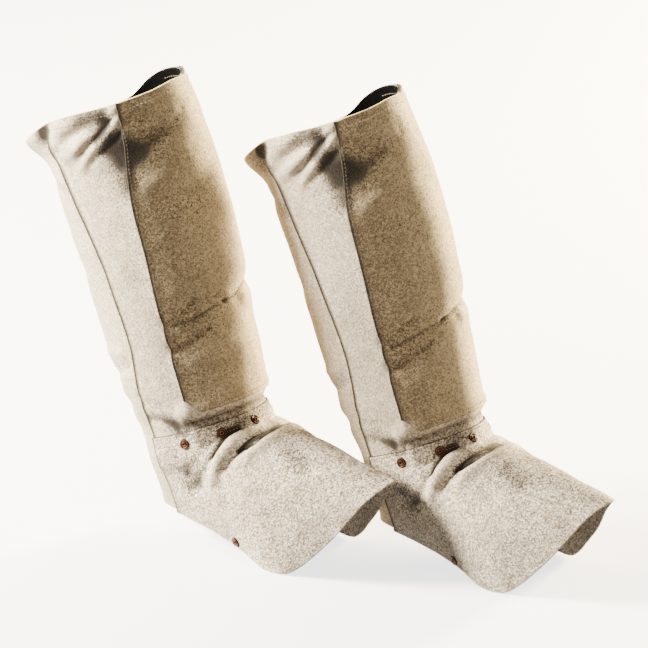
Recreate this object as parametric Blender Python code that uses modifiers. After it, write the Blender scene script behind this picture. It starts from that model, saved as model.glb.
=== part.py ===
"""A pair of welding leggings in split suede, in the form they have when worn.

Each legging is a leg body wrapped round the front, a shin panel on it, a back panel that
closes under the body's flap with hook-and-loop tape, a facing inside the top, a riveted
foot cover and an instep strap. All the sheets are cut from one grid of points: a sheet is
a range of the grid's rows and columns, moved out along the grid's normals, so that sheets
that lie on each other stay parallel.

A place on a legging is written (forward, side, up) in metres from the point on the ground
below the heel: forward is toward the toe and side is toward the wearer's right.
"""

import math
from collections import namedtuple

import bmesh
import bpy
import numpy as np
from mathutils import Matrix, Vector
from mathutils.bvhtree import BVHTree

CLOTH = 0.0020
FACING_THICKNESS = 0.0010
TAPE_THICKNESS = 0.0016
GAP = 0.0003

LEAN = math.radians(21.5)
UP_THE_LEG = np.array((-math.sin(LEAN), 0.0, math.cos(LEAN)))
TO_THE_FRONT = np.array((math.cos(LEAN), 0.0, math.sin(LEAN)))
TO_THE_SIDE = np.array((0.0, 1.0, 0.0))
ANKLE = np.array((0.032, 0.0, 0.109))

# The cover's top line is at height 0 on the leg, and the body goes on below it by the lap.
LAP = 0.020

PANEL_EDGE = 65.0
FLAP_EDGE = 110.0
CLOSURE_EDGE = 88.0
TAPE_EDGES = (91.0, 107.0)
FAR_LAP = -125.0
BACK_FAR_EDGE = -110.0
STRAP_EDGES = (79.0, 85.0)
FACING_STOP = 85.0

# Degrees round the leg from the front line, over the wearer's right side, back and left side.
COLUMNS = (
    0, 13, 26, 39, 52, 65, 73, 79, 85, 88, 91, 99, 107, 110, 122, 136, 150, 165, 180,
    -165, -150, -137, -125, -110, -98, -85, -79, -65, -52, -39, -26, -13,
)
# Shares of the way from the cover's top line to the rim.
LEG_ROWS = (
    1.0, 0.97, 0.93, 0.88, 0.825, 0.765, 0.70, 0.63, 0.56, 0.49, 0.43, 0.385,
    0.345, 0.28, 0.215, 0.155, 0.10, 0.055, 0.0,
)
LAP_ROWS = (0.010, 0.020)
LAP_BLEND_ROWS = 3
# Shares of the way from the end of the lap to the hem.
FOOT_ROWS = (0.07, 0.14, 0.22, 0.31, 0.41, 0.52, 0.64, 0.76, 0.87, 1.0)
PANEL_BOTTOM = 0.055
FACING_BOTTOM = 0.765

Section = namedtuple("Section", "height shift half_depth half_width")
SECTIONS = (
    Section(-0.020, -0.003, 0.0690, 0.0590),
    Section(0.000, -0.004, 0.0670, 0.0570),
    Section(0.040, -0.003, 0.0750, 0.0610),
    Section(0.100, 0.000, 0.0795, 0.0640),
    Section(0.200, 0.008, 0.0860, 0.0690),
    Section(0.300, 0.007, 0.0860, 0.0690),
    Section(0.345, 0.005, 0.0830, 0.0660),
)

RimPoint = namedtuple("RimPoint", "around height")
RIM = (
    RimPoint(-150, 0.317), RimPoint(-120, 0.320), RimPoint(-108, 0.3235),
    RimPoint(-95, 0.336), RimPoint(-85, 0.342), RimPoint(-78, 0.344),
    RimPoint(-60, 0.345), RimPoint(-45, 0.345),
    RimPoint(-20, 0.341), RimPoint(0, 0.342), RimPoint(30, 0.340),
    RimPoint(70, 0.339), RimPoint(92, 0.338), RimPoint(108, 0.335),
    RimPoint(130, 0.325), RimPoint(150, 0.316), RimPoint(180, 0.321),
)

HemPoint = namedtuple("HemPoint", "around forward side up")
HEM = (
    HemPoint(-150, -0.012, -0.012, 0.016), HemPoint(-125, 0.008, -0.032, 0.019),
    HemPoint(-110, 0.040, -0.042, 0.021), HemPoint(-98, 0.075, -0.045, 0.016),
    HemPoint(-85, 0.106, -0.047, 0.009), HemPoint(-79, 0.131, -0.048, 0.005),
    HemPoint(-72, 0.156, -0.047, 0.001), HemPoint(-65, 0.178, -0.042, 0.001),
    HemPoint(-56, 0.194, -0.036, 0.010), HemPoint(-47, 0.209, -0.030, 0.027),
    HemPoint(-36, 0.226, -0.024, 0.048), HemPoint(-25, 0.238, -0.018, 0.068),
    HemPoint(-13, 0.250, -0.011, 0.082), HemPoint(0, 0.260, 0.000, 0.090),
    HemPoint(13, 0.254, 0.028, 0.083), HemPoint(25, 0.245, 0.041, 0.070),
    HemPoint(36, 0.233, 0.055, 0.050), HemPoint(47, 0.215, 0.064, 0.028),
    HemPoint(56, 0.196, 0.071, 0.009), HemPoint(65, 0.179, 0.076, 0.000),
    HemPoint(72, 0.156, 0.075, 0.000), HemPoint(79, 0.131, 0.067, 0.007),
    HemPoint(85, 0.106, 0.059, 0.012), HemPoint(91, 0.080, 0.054, 0.017),
    HemPoint(99, 0.052, 0.047, 0.019), HemPoint(110, 0.026, 0.040, 0.020),
    HemPoint(122, 0.006, 0.032, 0.019), HemPoint(136, -0.008, 0.021, 0.017),
    HemPoint(158, -0.014, 0.007, 0.016), HemPoint(180, -0.015, 0.000, 0.016),
)

# Each line of the foot cover runs from the leg to the hem, drawn toward an upper and a lower point.
Pull = namedtuple("Pull", "around forward side up")
UPPER_PULLS = (
    Pull(-150, -0.014, -0.028, 0.052), Pull(-120, 0.014, -0.050, 0.060),
    Pull(-90, 0.056, -0.056, 0.068), Pull(-60, 0.098, -0.056, 0.090),
    Pull(-30, 0.130, -0.032, 0.109), Pull(0, 0.140, 0.000, 0.119),
    Pull(30, 0.132, 0.041, 0.110), Pull(60, 0.096, 0.064, 0.086),
    Pull(90, 0.052, 0.062, 0.066), Pull(120, 0.006, 0.046, 0.058),
    Pull(150, -0.020, 0.024, 0.050), Pull(180, -0.025, 0.000, 0.048),
)
LOWER_PULLS = (
    Pull(-150, -0.007, -0.018, 0.035), Pull(-120, 0.024, -0.042, 0.036),
    Pull(-90, 0.086, -0.052, 0.036), Pull(-60, 0.163, -0.040, 0.064),
    Pull(-30, 0.197, -0.028, 0.093), Pull(0, 0.200, 0.000, 0.104),
    Pull(30, 0.200, 0.046, 0.094), Pull(60, 0.163, 0.072, 0.060),
    Pull(90, 0.078, 0.060, 0.034), Pull(120, 0.010, 0.038, 0.034),
    Pull(150, -0.013, 0.016, 0.031), Pull(180, -0.018, 0.000, 0.030),
)

# How far the flap's line wanders round the leg from its own column, in degrees.
Drift = namedtuple("Drift", "height degrees")
FLAP_DRIFT = (
    Drift(-0.020, 0.5), Drift(0.000, 0.0), Drift(0.040, -3.5), Drift(0.100, -11.5),
    Drift(0.165, -8.0), Drift(0.265, 2.0), Drift(0.345, 8.0),
)

# How far the shin panel's side edges draw in toward the front, in degrees.
PANEL_DRIFT = (
    Drift(-0.020, 0.0), Drift(0.200, 0.0), Drift(0.235, -1.0), Drift(0.265, -4.0),
    Drift(0.300, -9.0), Drift(0.345, -14.0),
)

# The pressed fold along each side edge of the shin panel, which goes soft toward the rim.
EDGE_FOLD_HEIGHT = 0.0040
EDGE_FOLD_DEGREES = 9.0
EDGE_FOLD_SOFTENING = 0.7
SOFT_FROM = 0.26
SOFT_SPAN = 0.06
# The panel's bottom corners turn up: how far, from which angle, and up to which row.
CORNER_RISE = 0.013
CORNER_FROM = 54.0
CORNER_BEYOND = 24.0
CORNER_TOP_ROW = 0.28
# The corner of the rim at the back that turns out.
FLARE = 0.016
FLARE_CENTRE = 146.0
FLARE_DEGREES = 26.0
FLARE_DEPTH = 0.042

# Creases are negative and ridges positive. Round the leg in degrees, and height on the leg.
LegFold = namedtuple("LegFold", "around_1 height_1 around_2 height_2 width relief")
LEG_FOLDS = (
    LegFold(-60, 0.124, 40, 0.127, 0.0065, -0.0024),
    LegFold(40, 0.127, 64, 0.112, 0.0065, -0.0022),
    LegFold(-45, 0.146, 48, 0.143, 0.0100, 0.0012),
    LegFold(-40, 0.108, 20, 0.108, 0.0080, 0.0014),
    LegFold(-2, 0.110, 62, 0.086, 0.0080, -0.0025),
    LegFold(-80, 0.019, 70, 0.018, 0.0090, 0.0042),
    LegFold(66, 0.336, 102, 0.300, 0.0080, 0.0036),
    LegFold(74, 0.326, 95, 0.318, 0.0080, -0.0040),
    LegFold(89, 0.334, 112, 0.306, 0.0070, 0.0040),
    LegFold(52, 0.292, 67, 0.276, 0.0180, -0.0018),
    LegFold(112, 0.330, 122, 0.312, 0.0080, -0.0040),
    LegFold(-15, 0.268, 50, 0.246, 0.0120, 0.0014),
    LegFold(-20, 0.232, 40, 0.222, 0.0140, -0.0012),
    LegFold(-130, 0.150, -80, 0.118, 0.0090, -0.0035),
    LegFold(-150, 0.060, -100, 0.042, 0.0090, -0.0030),
    LegFold(150, 0.062, 205, 0.066, 0.0090, -0.0035),
    LegFold(140, 0.036, 190, 0.030, 0.0090, -0.0030),
    LegFold(-120, 0.262, -82, 0.286, 0.0120, -0.0040),
)
ROUND_PER_DEGREE = 0.00132

# A fold of the foot cover is a chain of places on it.
FootFold = namedtuple("FootFold", "places width relief")
FOOT_FOLDS = (
    FootFold(((0.102, 0.010, 0.119), (0.095, 0.034, 0.114), (0.090, 0.057, 0.099),
              (0.086, 0.067, 0.074)), 0.0060, 0.0034),
    FootFold(((0.086, 0.046, 0.105), (0.082, 0.055, 0.095), (0.079, 0.062, 0.084)),
             0.0045, -0.0022),
    FootFold(((0.128, -0.030, 0.116), (0.130, 0.006, 0.120), (0.124, 0.041, 0.111),
              (0.114, 0.054, 0.098)), 0.0065, 0.0030),
    FootFold(((0.112, -0.030, 0.110), (0.113, 0.010, 0.114), (0.107, 0.044, 0.103),
              (0.097, 0.057, 0.088)), 0.0055, -0.0050),
    FootFold(((0.025, 0.045, 0.088), (0.046, 0.057, 0.076), (0.065, 0.060, 0.065)),
             0.0110, -0.0040),
    FootFold(((0.090, -0.042, 0.104), (0.080, -0.055, 0.080)), 0.0070, -0.0040),
    FootFold(((0.020, -0.050, 0.082), (0.060, -0.058, 0.066)), 0.0100, -0.0035),
)

RIVET_RADIUS = 0.0052
RIVET_TOP_RADIUS = 0.0036
RIVET_HEIGHT = 0.0018
RIVET_SIDES = 12
RIVET_DROP = 0.011
RIVET_PROBE = 0.020
RIVETS_AROUND = (76.0, 43.0, 9.0, -50.0, -80.0)
STRAP_RIVET_SHARE = 0.93

STRAP_SAG = 0.0010
STRAP_STEPS = 7

SECOND_LEGGING = np.array((0.207, -0.083, 0.0))


def world_direction(direction):
    """A direction in the part's frame, where the toes point toward -Y and the right side toward -X."""
    forward, side, up = np.moveaxis(np.asarray(direction, float), -1, 0)
    return np.stack((-side, -forward, up), axis=-1)


def world(place):
    """A place in the part's frame, whose origin is inside the right ankle."""
    return world_direction(np.asarray(place, float) - ANKLE)


def smooth(keys, values, where):
    """The values at `where` on a smooth curve through the table's points."""
    keys = np.asarray(keys, float)
    values = np.asarray(values, float)
    slopes = np.gradient(values, keys, axis=0)
    first = np.clip(np.searchsorted(keys, where, side="right") - 1, 0, len(keys) - 2)
    span = keys[first + 1] - keys[first]
    share = np.clip((where - keys[first]) / span, 0.0, 1.0)
    if values.ndim > 1:
        share = share[..., None]
        span = span[..., None]
    before = values[first] * (1 + 2 * share) * (1 - share) ** 2
    after = values[first + 1] * (3 - 2 * share) * share**2
    turn = slopes[first] * share * (1 - share) ** 2 - slopes[first + 1] * (1 - share) * share**2
    return before + after + turn * span


def smooth_round(table, around):
    """As smooth, for a table whose first column is degrees round the leg."""
    rows = np.array(table, float)
    turned = np.tile(rows, (3, 1))
    turned[:, 0] += np.repeat((-360.0, 0.0, 360.0), len(rows))
    values = turned[:, 1:] if rows.shape[1] > 2 else turned[:, 1]
    return smooth(turned[:, 0], values, around)


def ease(share):
    """0 to 1 with no corner at either end."""
    share = np.clip(share, 0.0, 1.0)
    return share * share * (3 - 2 * share)


def drifted(around, height):
    """The angle a column really has at this height: two lines wander, their neighbours follow."""
    off_front = np.abs((around + 180.0) % 360.0 - 180.0)
    beyond = (FLAP_EDGE - off_front) / (FLAP_EDGE - PANEL_EDGE)
    panel = drift_at(PANEL_DRIFT, height) * np.clip(np.minimum(off_front / PANEL_EDGE, beyond), 0.0, 1.0)
    rising = (around - PANEL_EDGE) / (FLAP_EDGE - PANEL_EDGE)
    falling = (180.0 - around) / (180.0 - FLAP_EDGE)
    flap = drift_at(FLAP_DRIFT, height) * np.clip(np.minimum(rising, falling), 0.0, 1.0)
    return around + flap + panel * np.sign(around)


def drift_at(table, height):
    """How far a line has wandered at this height."""
    rows = np.array(table)
    return smooth(rows[:, 0], rows[:, 1], height)


def leg_place(around, height):
    """Places on the leg, before its folds."""
    table = np.array(SECTIONS)
    shift, half_depth, half_width = (
        smooth(table[:, 0], table[:, column], height) for column in (1, 2, 3)
    )
    off_front = np.abs((around + 180.0) % 360.0 - 180.0)
    edge_fold = EDGE_FOLD_HEIGHT * np.exp(-np.abs(off_front - PANEL_EDGE) / EDGE_FOLD_DEGREES)
    edge_fold = edge_fold * (1 - EDGE_FOLD_SOFTENING * ease((height - SOFT_FROM) / SOFT_SPAN))
    flare = FLARE * ease((height - rim_height(around) + FLARE_DEPTH) / FLARE_DEPTH) ** 2
    flare = flare * np.exp(-(((around % 360.0) - FLARE_CENTRE) / FLARE_DEGREES) ** 2)
    turn = np.radians(drifted(around, height))
    depth = shift + (half_depth + edge_fold + flare) * np.cos(turn)
    width = (half_width + edge_fold + flare) * np.sin(turn)
    return (
        ANKLE
        + height[..., None] * UP_THE_LEG
        + depth[..., None] * TO_THE_FRONT
        + width[..., None] * TO_THE_SIDE
    )


def rim_height(around):
    return smooth_round(RIM, around)


def foot_place(around, share):
    """Places on the foot cover, before its folds, at a share of the way from the leg to the hem."""
    start = leg_place(around, np.full_like(share, -LAP))
    upper = smooth_round(UPPER_PULLS, around)
    lower = smooth_round(LOWER_PULLS, around)
    hem = smooth_round(HEM, around)
    share = share[..., None]
    rest = 1 - share
    return (
        start * rest**3
        + upper * 3 * share * rest**2
        + lower * 3 * share**2 * rest
        + hem * share**3
    )


def off_segment(points, start, end):
    """The distance of each point from a segment."""
    start, end = np.asarray(start, float), np.asarray(end, float)
    line = end - start
    share = np.clip((points - start) @ line / (line @ line), 0.0, 1.0)
    return np.linalg.norm(points - start - share[..., None] * line, axis=-1)


def leg_relief(around, height):
    """How far the leg's folds push its surface out."""
    total = np.zeros_like(height)
    for fold in LEG_FOLDS:
        centre = (fold.around_1 + fold.around_2) / 2
        near = centre + (around - centre + 180.0) % 360.0 - 180.0
        points = np.stack((near * ROUND_PER_DEGREE, height), axis=-1)
        start = (fold.around_1 * ROUND_PER_DEGREE, fold.height_1)
        end = (fold.around_2 * ROUND_PER_DEGREE, fold.height_2)
        total += fold.relief * np.exp(-((off_segment(points, start, end) / fold.width) ** 2))
    return total


def foot_relief(places):
    """How far the foot cover's folds push its surface out."""
    total = np.zeros(places.shape[:-1])
    for fold in FOOT_FOLDS:
        links = zip(fold.places, fold.places[1:])
        off = np.min([off_segment(places, start, end) for start, end in links], axis=0)
        total += fold.relief * np.exp(-((off / fold.width) ** 2))
    return total


def normals_of(places):
    """Outward normals of a grid whose columns close round the leg and whose rows run down."""
    along = np.gradient(places, axis=0)
    across = np.roll(places, -1, axis=1) - np.roll(places, 1, axis=1)
    normals = np.cross(along, across)
    return normals / np.linalg.norm(normals, axis=-1, keepdims=True)


class Grid:
    """The places and normals that every sheet of one legging is cut from."""

    def __init__(self):
        around = np.array(COLUMNS, float)
        rim = rim_height(around)
        corner = ease((np.abs(around) - CORNER_FROM) / (PANEL_EDGE - CORNER_FROM))
        corner = CORNER_RISE * corner * ease((PANEL_EDGE + CORNER_BEYOND - np.abs(around)) / CORNER_BEYOND)
        heights = []
        for share in LEG_ROWS:
            fade = ease((CORNER_TOP_ROW - share) / (CORNER_TOP_ROW - PANEL_BOTTOM)) if share > 0 else 0.0
            heights.append(share * rim + corner * fade)
        heights += [np.full_like(rim, -drop) for drop in LAP_ROWS]
        heights = np.array(heights)
        turns = np.broadcast_to(around, heights.shape)
        leg = leg_place(turns, heights)
        shares = np.array(FOOT_ROWS)[:, None] * np.ones_like(around)
        foot = foot_place(np.broadcast_to(around, shares.shape), shares)
        base = np.concatenate((leg, foot))
        relief = foot_relief(base)
        relief[: len(leg)] += leg_relief(turns, heights)
        self.places = base + normals_of(base) * relief[..., None]
        self.normals = normals_of(self.places)
        self.rows = {share: row for row, share in enumerate(LEG_ROWS)}
        self.lap_end = len(LEG_ROWS) + len(LAP_ROWS) - 1
        self.hem = len(self.places) - 1

    @staticmethod
    def column_range(first, last):
        """The columns met going round from one to the other, both in degrees, toward the right side."""
        index = COLUMNS.index(int(first))
        found = [index]
        while COLUMNS[index] != last:
            index = (index + 1) % len(COLUMNS)
            found.append(index)
        return found

    def sheet(self, rows, columns, offsets):
        """The places of a range of rows and columns, moved out by the offset of each."""
        part = np.ix_(list(rows), list(columns))
        return self.places[part] + self.normals[part] * offsets[..., None]


def back_offsets(rows, columns):
    """The back panel's inner face: under the tape at the flap, and just under the body at the far lap."""
    turns = np.array([COLUMNS[column] % 360 for column in columns], float)
    near = -(CLOTH + TAPE_THICKNESS + 2 * GAP)
    far = -(CLOTH + GAP)
    row = near + (far - near) * ease((turns - FLAP_EDGE) / (360.0 + FAR_LAP - FLAP_EDGE))
    return np.broadcast_to(row, (len(rows), len(columns)))


def material(name, colour, roughness, metallic=0.0):
    """A plain surface in the colour of the real one."""
    made = bpy.data.materials.new(name)
    made.use_nodes = True
    shader = made.node_tree.nodes["Principled BSDF"]
    shader.inputs["Base Color"].default_value = (*colour, 1.0)
    shader.inputs["Roughness"].default_value = roughness
    shader.inputs["Metallic"].default_value = metallic
    return made


def cloth_object(name, places, thickness, surface, collection):
    """An open sheet through a grid of places, thickened outward."""
    rows, columns = places.shape[:2]
    mesh = bmesh.new()
    points = [[mesh.verts.new(co) for co in row] for row in world(places)]
    for row in range(rows - 1):
        for column in range(columns - 1):
            high, low = points[row], points[row + 1]
            mesh.faces.new((high[column], low[column + 1], low[column]))
            mesh.faces.new((high[column], high[column + 1], low[column + 1]))
    made = mesh_object(name, mesh, surface, collection)
    made.data.shade_smooth()
    wall = made.modifiers.new("wall", "SOLIDIFY")
    wall.thickness = thickness
    wall.offset = 1.0
    return made


def mesh_object(name, mesh, surface, collection):
    """An object that holds the mesh, with one material."""
    data = bpy.data.meshes.new(name)
    mesh.to_mesh(data)
    mesh.free()
    data.materials.append(surface)
    made = bpy.data.objects.new(name, data)
    collection.objects.link(made)
    return made


def strap_places(grid):
    """The strap from the cover's hem on the right, under the foot, to the hem on the left."""
    inner = -(CLOTH + GAP)
    near = grid.column_range(*STRAP_EDGES)
    far = [COLUMNS.index(-int(edge)) for edge in STRAP_EDGES]
    rows = (grid.hem - 1, grid.hem)
    near_end = grid.sheet(rows, near, np.full((2, 2), inner))
    far_end = grid.sheet(rows, far, np.full((2, 2), inner))[::-1]
    start, end = near_end[-1], far_end[0]
    steps = []
    for step in range(1, STRAP_STEPS):
        turn = math.pi * step / STRAP_STEPS
        share = (1 - math.cos(turn)) / 2
        row = start + (end - start) * share
        low = np.minimum(start[:, 2], end[:, 2]) - STRAP_SAG
        row[:, 2] += (low - row[:, 2]) * math.sin(turn) ** 0.5
        steps.append(row)
    return np.concatenate((near_end, steps, far_end))


def rivet_object(name, cover_tree, place, outward, surface, collection):
    """A rivet's head, seated on the cover's outer face with the gap of two pieces that touch."""
    across = outward.orthogonal().normalized()
    along = outward.cross(across)
    nearest = RIVET_PROBE
    for step in range(RIVET_SIDES + 1):
        turn = math.tau * step / RIVET_SIDES
        reach = RIVET_RADIUS * (step < RIVET_SIDES)
        ring = across * math.cos(turn) * reach + along * math.sin(turn) * reach
        hit = cover_tree.ray_cast(place + ring + outward * RIVET_PROBE, -outward)
        if hit[0] is not None:
            nearest = min(nearest, hit[3])
    foot = place + outward * (RIVET_PROBE - nearest + GAP)
    mesh = bmesh.new()
    bmesh.ops.create_cone(
        mesh,
        cap_ends=True,
        segments=RIVET_SIDES,
        radius1=RIVET_RADIUS,
        radius2=RIVET_TOP_RADIUS,
        depth=RIVET_HEIGHT,
        matrix=Matrix.Translation((0, 0, RIVET_HEIGHT / 2)),
    )
    made = mesh_object(name, mesh, surface, collection)
    made.matrix_world = Matrix.Translation(foot) @ outward.to_track_quat("Z", "Y").to_matrix().to_4x4()
    return made


def spot_on(grid, around, row):
    """The place and outward direction at an angle round the leg and a row that may lie between two."""
    order = np.argsort(COLUMNS)
    keys = np.array(COLUMNS)[order]
    above = int(row)
    share = row - above
    found = []
    for field in (grid.places, grid.normals):
        line = (field[above] * (1 - share) + field[above + 1] * share)[order]
        found.append([np.interp(around, keys, line[:, axis]) for axis in range(3)])
    return Vector(world(found[0])), Vector(world_direction(found[1])).normalized()


def build_legging(side_name, move, surfaces, collection):
    """All the pieces of one legging, moved to its place."""
    grid = Grid()
    grid.places = grid.places + move
    top, seam = grid.rows[1.0], grid.rows[0.0]
    body_columns = grid.column_range(FAR_LAP, FLAP_EDGE)
    back_columns = grid.column_range(CLOSURE_EDGE, BACK_FAR_EDGE)
    tape_columns = grid.column_range(*TAPE_EDGES)
    panel_columns = grid.column_range(-PANEL_EDGE, PANEL_EDGE)
    body_rows = range(top, grid.lap_end + 1)
    whole_rows = range(top, grid.hem + 1)

    def cut(name, rows, columns, offsets, thickness, surface):
        offsets = np.broadcast_to(offsets, (len(rows), len(columns)))
        places = grid.sheet(rows, columns, offsets)
        return cloth_object(f"{side_name}_{name}", places, thickness, surface, collection)

    cut("leg_body", body_rows, body_columns, 0.0, CLOTH, surfaces["suede"])
    panel_rows = range(top, grid.rows[PANEL_BOTTOM] + 1)
    cut("shin_panel", panel_rows, panel_columns, CLOTH + GAP, CLOTH, surfaces["suede"])
    back = back_offsets(whole_rows, back_columns)
    cut("back_panel", whole_rows, back_columns, back, CLOTH, surfaces["back suede"])
    cut("closure_tape", range(top + 1, grid.hem), tape_columns,
        -(TAPE_THICKNESS + GAP), TAPE_THICKNESS, surfaces["black tape"])

    facing_rows = range(top, grid.rows[FACING_BOTTOM] + 1)
    facing_columns = grid.column_range(CLOSURE_EDGE, FACING_STOP)
    on_back = set(back_columns)
    behind = back_offsets(facing_rows, facing_columns)
    covered = np.array([column in on_back for column in facing_columns])
    facing = np.where(covered, behind, 0.0) - FACING_THICKNESS - GAP
    cut("facing", facing_rows, facing_columns, facing, FACING_THICKNESS, surfaces["facing"])

    cover_rows = range(seam, grid.hem + 1)
    lap_rows = grid.lap_end + 1 - seam
    steps = np.arange(len(cover_rows)) - lap_rows
    cover_offsets = (CLOTH + GAP) * (1 - ease(steps / LAP_BLEND_ROWS))
    cut("foot_cover", cover_rows, body_columns, cover_offsets[:, None], CLOTH, surfaces["suede"])
    cloth_object(f"{side_name}_instep_strap", strap_places(grid), CLOTH, surfaces["suede"], collection)
    add_rivets(side_name, grid, seam, surfaces["copper"], collection)


def add_rivets(side_name, grid, seam, surface, collection):
    """Five rivets below the cover's top line and one at each end of the strap."""
    bpy.context.view_layer.update()
    graph = bpy.context.evaluated_depsgraph_get()
    cover = bpy.data.objects[f"{side_name}_foot_cover"]
    tree = BVHTree.FromObject(cover, graph)
    drop_row = seam + RIVET_DROP / LAP_ROWS[0]
    spots = [(around, drop_row) for around in RIVETS_AROUND]
    strap_turn = sum(STRAP_EDGES) / 2
    strap_row = grid.hem - (1 - STRAP_RIVET_SHARE) / (FOOT_ROWS[-1] - FOOT_ROWS[-2])
    spots += [(strap_turn, strap_row), (-strap_turn, strap_row)]
    for number, (around, row) in enumerate(spots, start=1):
        place, outward = spot_on(grid, around, row)
        rivet_object(f"{side_name}_rivet_{number}", tree, place, outward, surface, collection)


def main():
    for found in list(bpy.data.objects):
        bpy.data.objects.remove(found, do_unlink=True)
    collection = bpy.data.collections.new("welding_leggings")
    bpy.context.scene.collection.children.link(collection)
    surfaces = {
        "suede": material("suede", (0.62, 0.55, 0.44), 0.92),
        "back suede": material("back suede", (0.66, 0.60, 0.50), 0.92),
        "facing": material("facing", (0.03, 0.03, 0.035), 0.85),
        "black tape": material("black tape", (0.02, 0.02, 0.02), 0.9),
        "copper": material("copper", (0.72, 0.45, 0.28), 0.35, 1.0),
    }
    build_legging("right", np.zeros(3), surfaces, collection)
    build_legging("left", SECOND_LEGGING, surfaces, collection)


main()
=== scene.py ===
"""A pair of welding leggings in split suede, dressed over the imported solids.

Each legging is cut from one fine grid of places, so that sheets that lie on each other stay
parallel. A sheet is a range of the grid's rows and columns, moved out along the grid's
normals. A place on a legging is written (forward, side, up) in metres from the point on the
ground below the heel: forward is toward the toe, side is toward the wearer's right.
"""

import logging
import math
from dataclasses import dataclass, field
from enum import Enum
from itertools import product
from typing import NamedTuple

import bpy
import numpy as np
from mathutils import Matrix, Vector

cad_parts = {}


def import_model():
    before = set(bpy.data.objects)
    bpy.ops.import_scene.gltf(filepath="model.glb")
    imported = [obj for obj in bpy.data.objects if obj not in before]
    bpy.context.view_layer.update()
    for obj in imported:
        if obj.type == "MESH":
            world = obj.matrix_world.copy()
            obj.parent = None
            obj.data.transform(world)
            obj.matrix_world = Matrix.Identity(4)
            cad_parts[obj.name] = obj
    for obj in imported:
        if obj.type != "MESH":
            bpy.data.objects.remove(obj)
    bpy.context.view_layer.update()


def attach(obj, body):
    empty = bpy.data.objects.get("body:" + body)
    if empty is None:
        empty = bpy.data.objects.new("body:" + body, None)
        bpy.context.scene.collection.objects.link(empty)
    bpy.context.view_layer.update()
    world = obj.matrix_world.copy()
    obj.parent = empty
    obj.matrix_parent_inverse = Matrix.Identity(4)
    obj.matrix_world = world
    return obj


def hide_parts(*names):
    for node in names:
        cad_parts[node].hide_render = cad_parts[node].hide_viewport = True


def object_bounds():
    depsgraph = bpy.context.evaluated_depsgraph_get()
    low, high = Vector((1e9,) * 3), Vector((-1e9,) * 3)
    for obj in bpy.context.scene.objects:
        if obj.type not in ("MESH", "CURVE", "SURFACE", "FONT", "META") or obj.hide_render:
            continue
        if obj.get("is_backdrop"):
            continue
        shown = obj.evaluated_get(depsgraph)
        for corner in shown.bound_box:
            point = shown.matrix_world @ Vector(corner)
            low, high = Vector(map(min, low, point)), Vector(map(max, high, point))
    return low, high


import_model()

LOG = logging.getLogger("welding_leggings")

LEAN = math.radians(21.5)
UP_THE_LEG = np.array((-math.sin(LEAN), 0.0, math.cos(LEAN)))
TO_THE_FRONT = np.array((math.cos(LEAN), 0.0, math.sin(LEAN)))
TO_THE_SIDE = np.array((0.0, 1.0, 0.0))
ANKLE = np.array((0.032, 0.0, 0.109))
SECOND_LEGGING = (0.207, -0.083, 0.0)


class Section(NamedTuple):
    """The leg's oval at one height above the foot cover's top edge."""

    height: float
    shift: float
    half_depth: float
    half_width: float


class RimPoint(NamedTuple):
    """How far up the leg the rim lies at an angle round it."""

    around: float
    height: float


class CoverPoint(NamedTuple):
    """A place on the foot cover at an angle round the leg."""

    around: float
    forward: float
    side: float
    up: float


class Drift(NamedTuple):
    """How far the flap's line or the shin panel's edge wanders round the leg at a height."""

    height: float
    degrees: float


class Form(Enum):
    """How a fold falls away on either side of its line: STEP falls slowly where it leans to."""

    ROUND = "round"
    CRISP = "crisp"
    STEP = "step"


class LegFold(NamedTuple):
    """A crease (negative) or ridge (positive) on the leg, between two angles and heights."""

    around_1: float
    height_1: float
    around_2: float
    height_2: float
    width: float
    relief: float
    form: Form = Form.ROUND
    lean: tuple = ()


class FootFold(NamedTuple):
    """A crease or ridge on the foot cover, along a chain of places, and the pull on its top."""

    places: tuple
    width: float
    relief: float
    form: Form = Form.ROUND
    lean: tuple = ()
    pull: tuple = (0.0, 0.0, 0.0)


class EdgeTone(Enum):
    """The look of the cut edge along one side of a sheet: pale is the edge's own raw colour, dark is
    painted shadow along it.
    """

    PLAIN = (0.0, 0.0)
    PALE = (1.0, 0.0)
    DARK = (0.0, 1.0)
    RIM = (1.0, 1.0)


def rows_of(kind: type, *rows: tuple) -> tuple:
    """A table's rows as named tuples of one kind."""
    return tuple(kind(*row) for row in rows)


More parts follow.
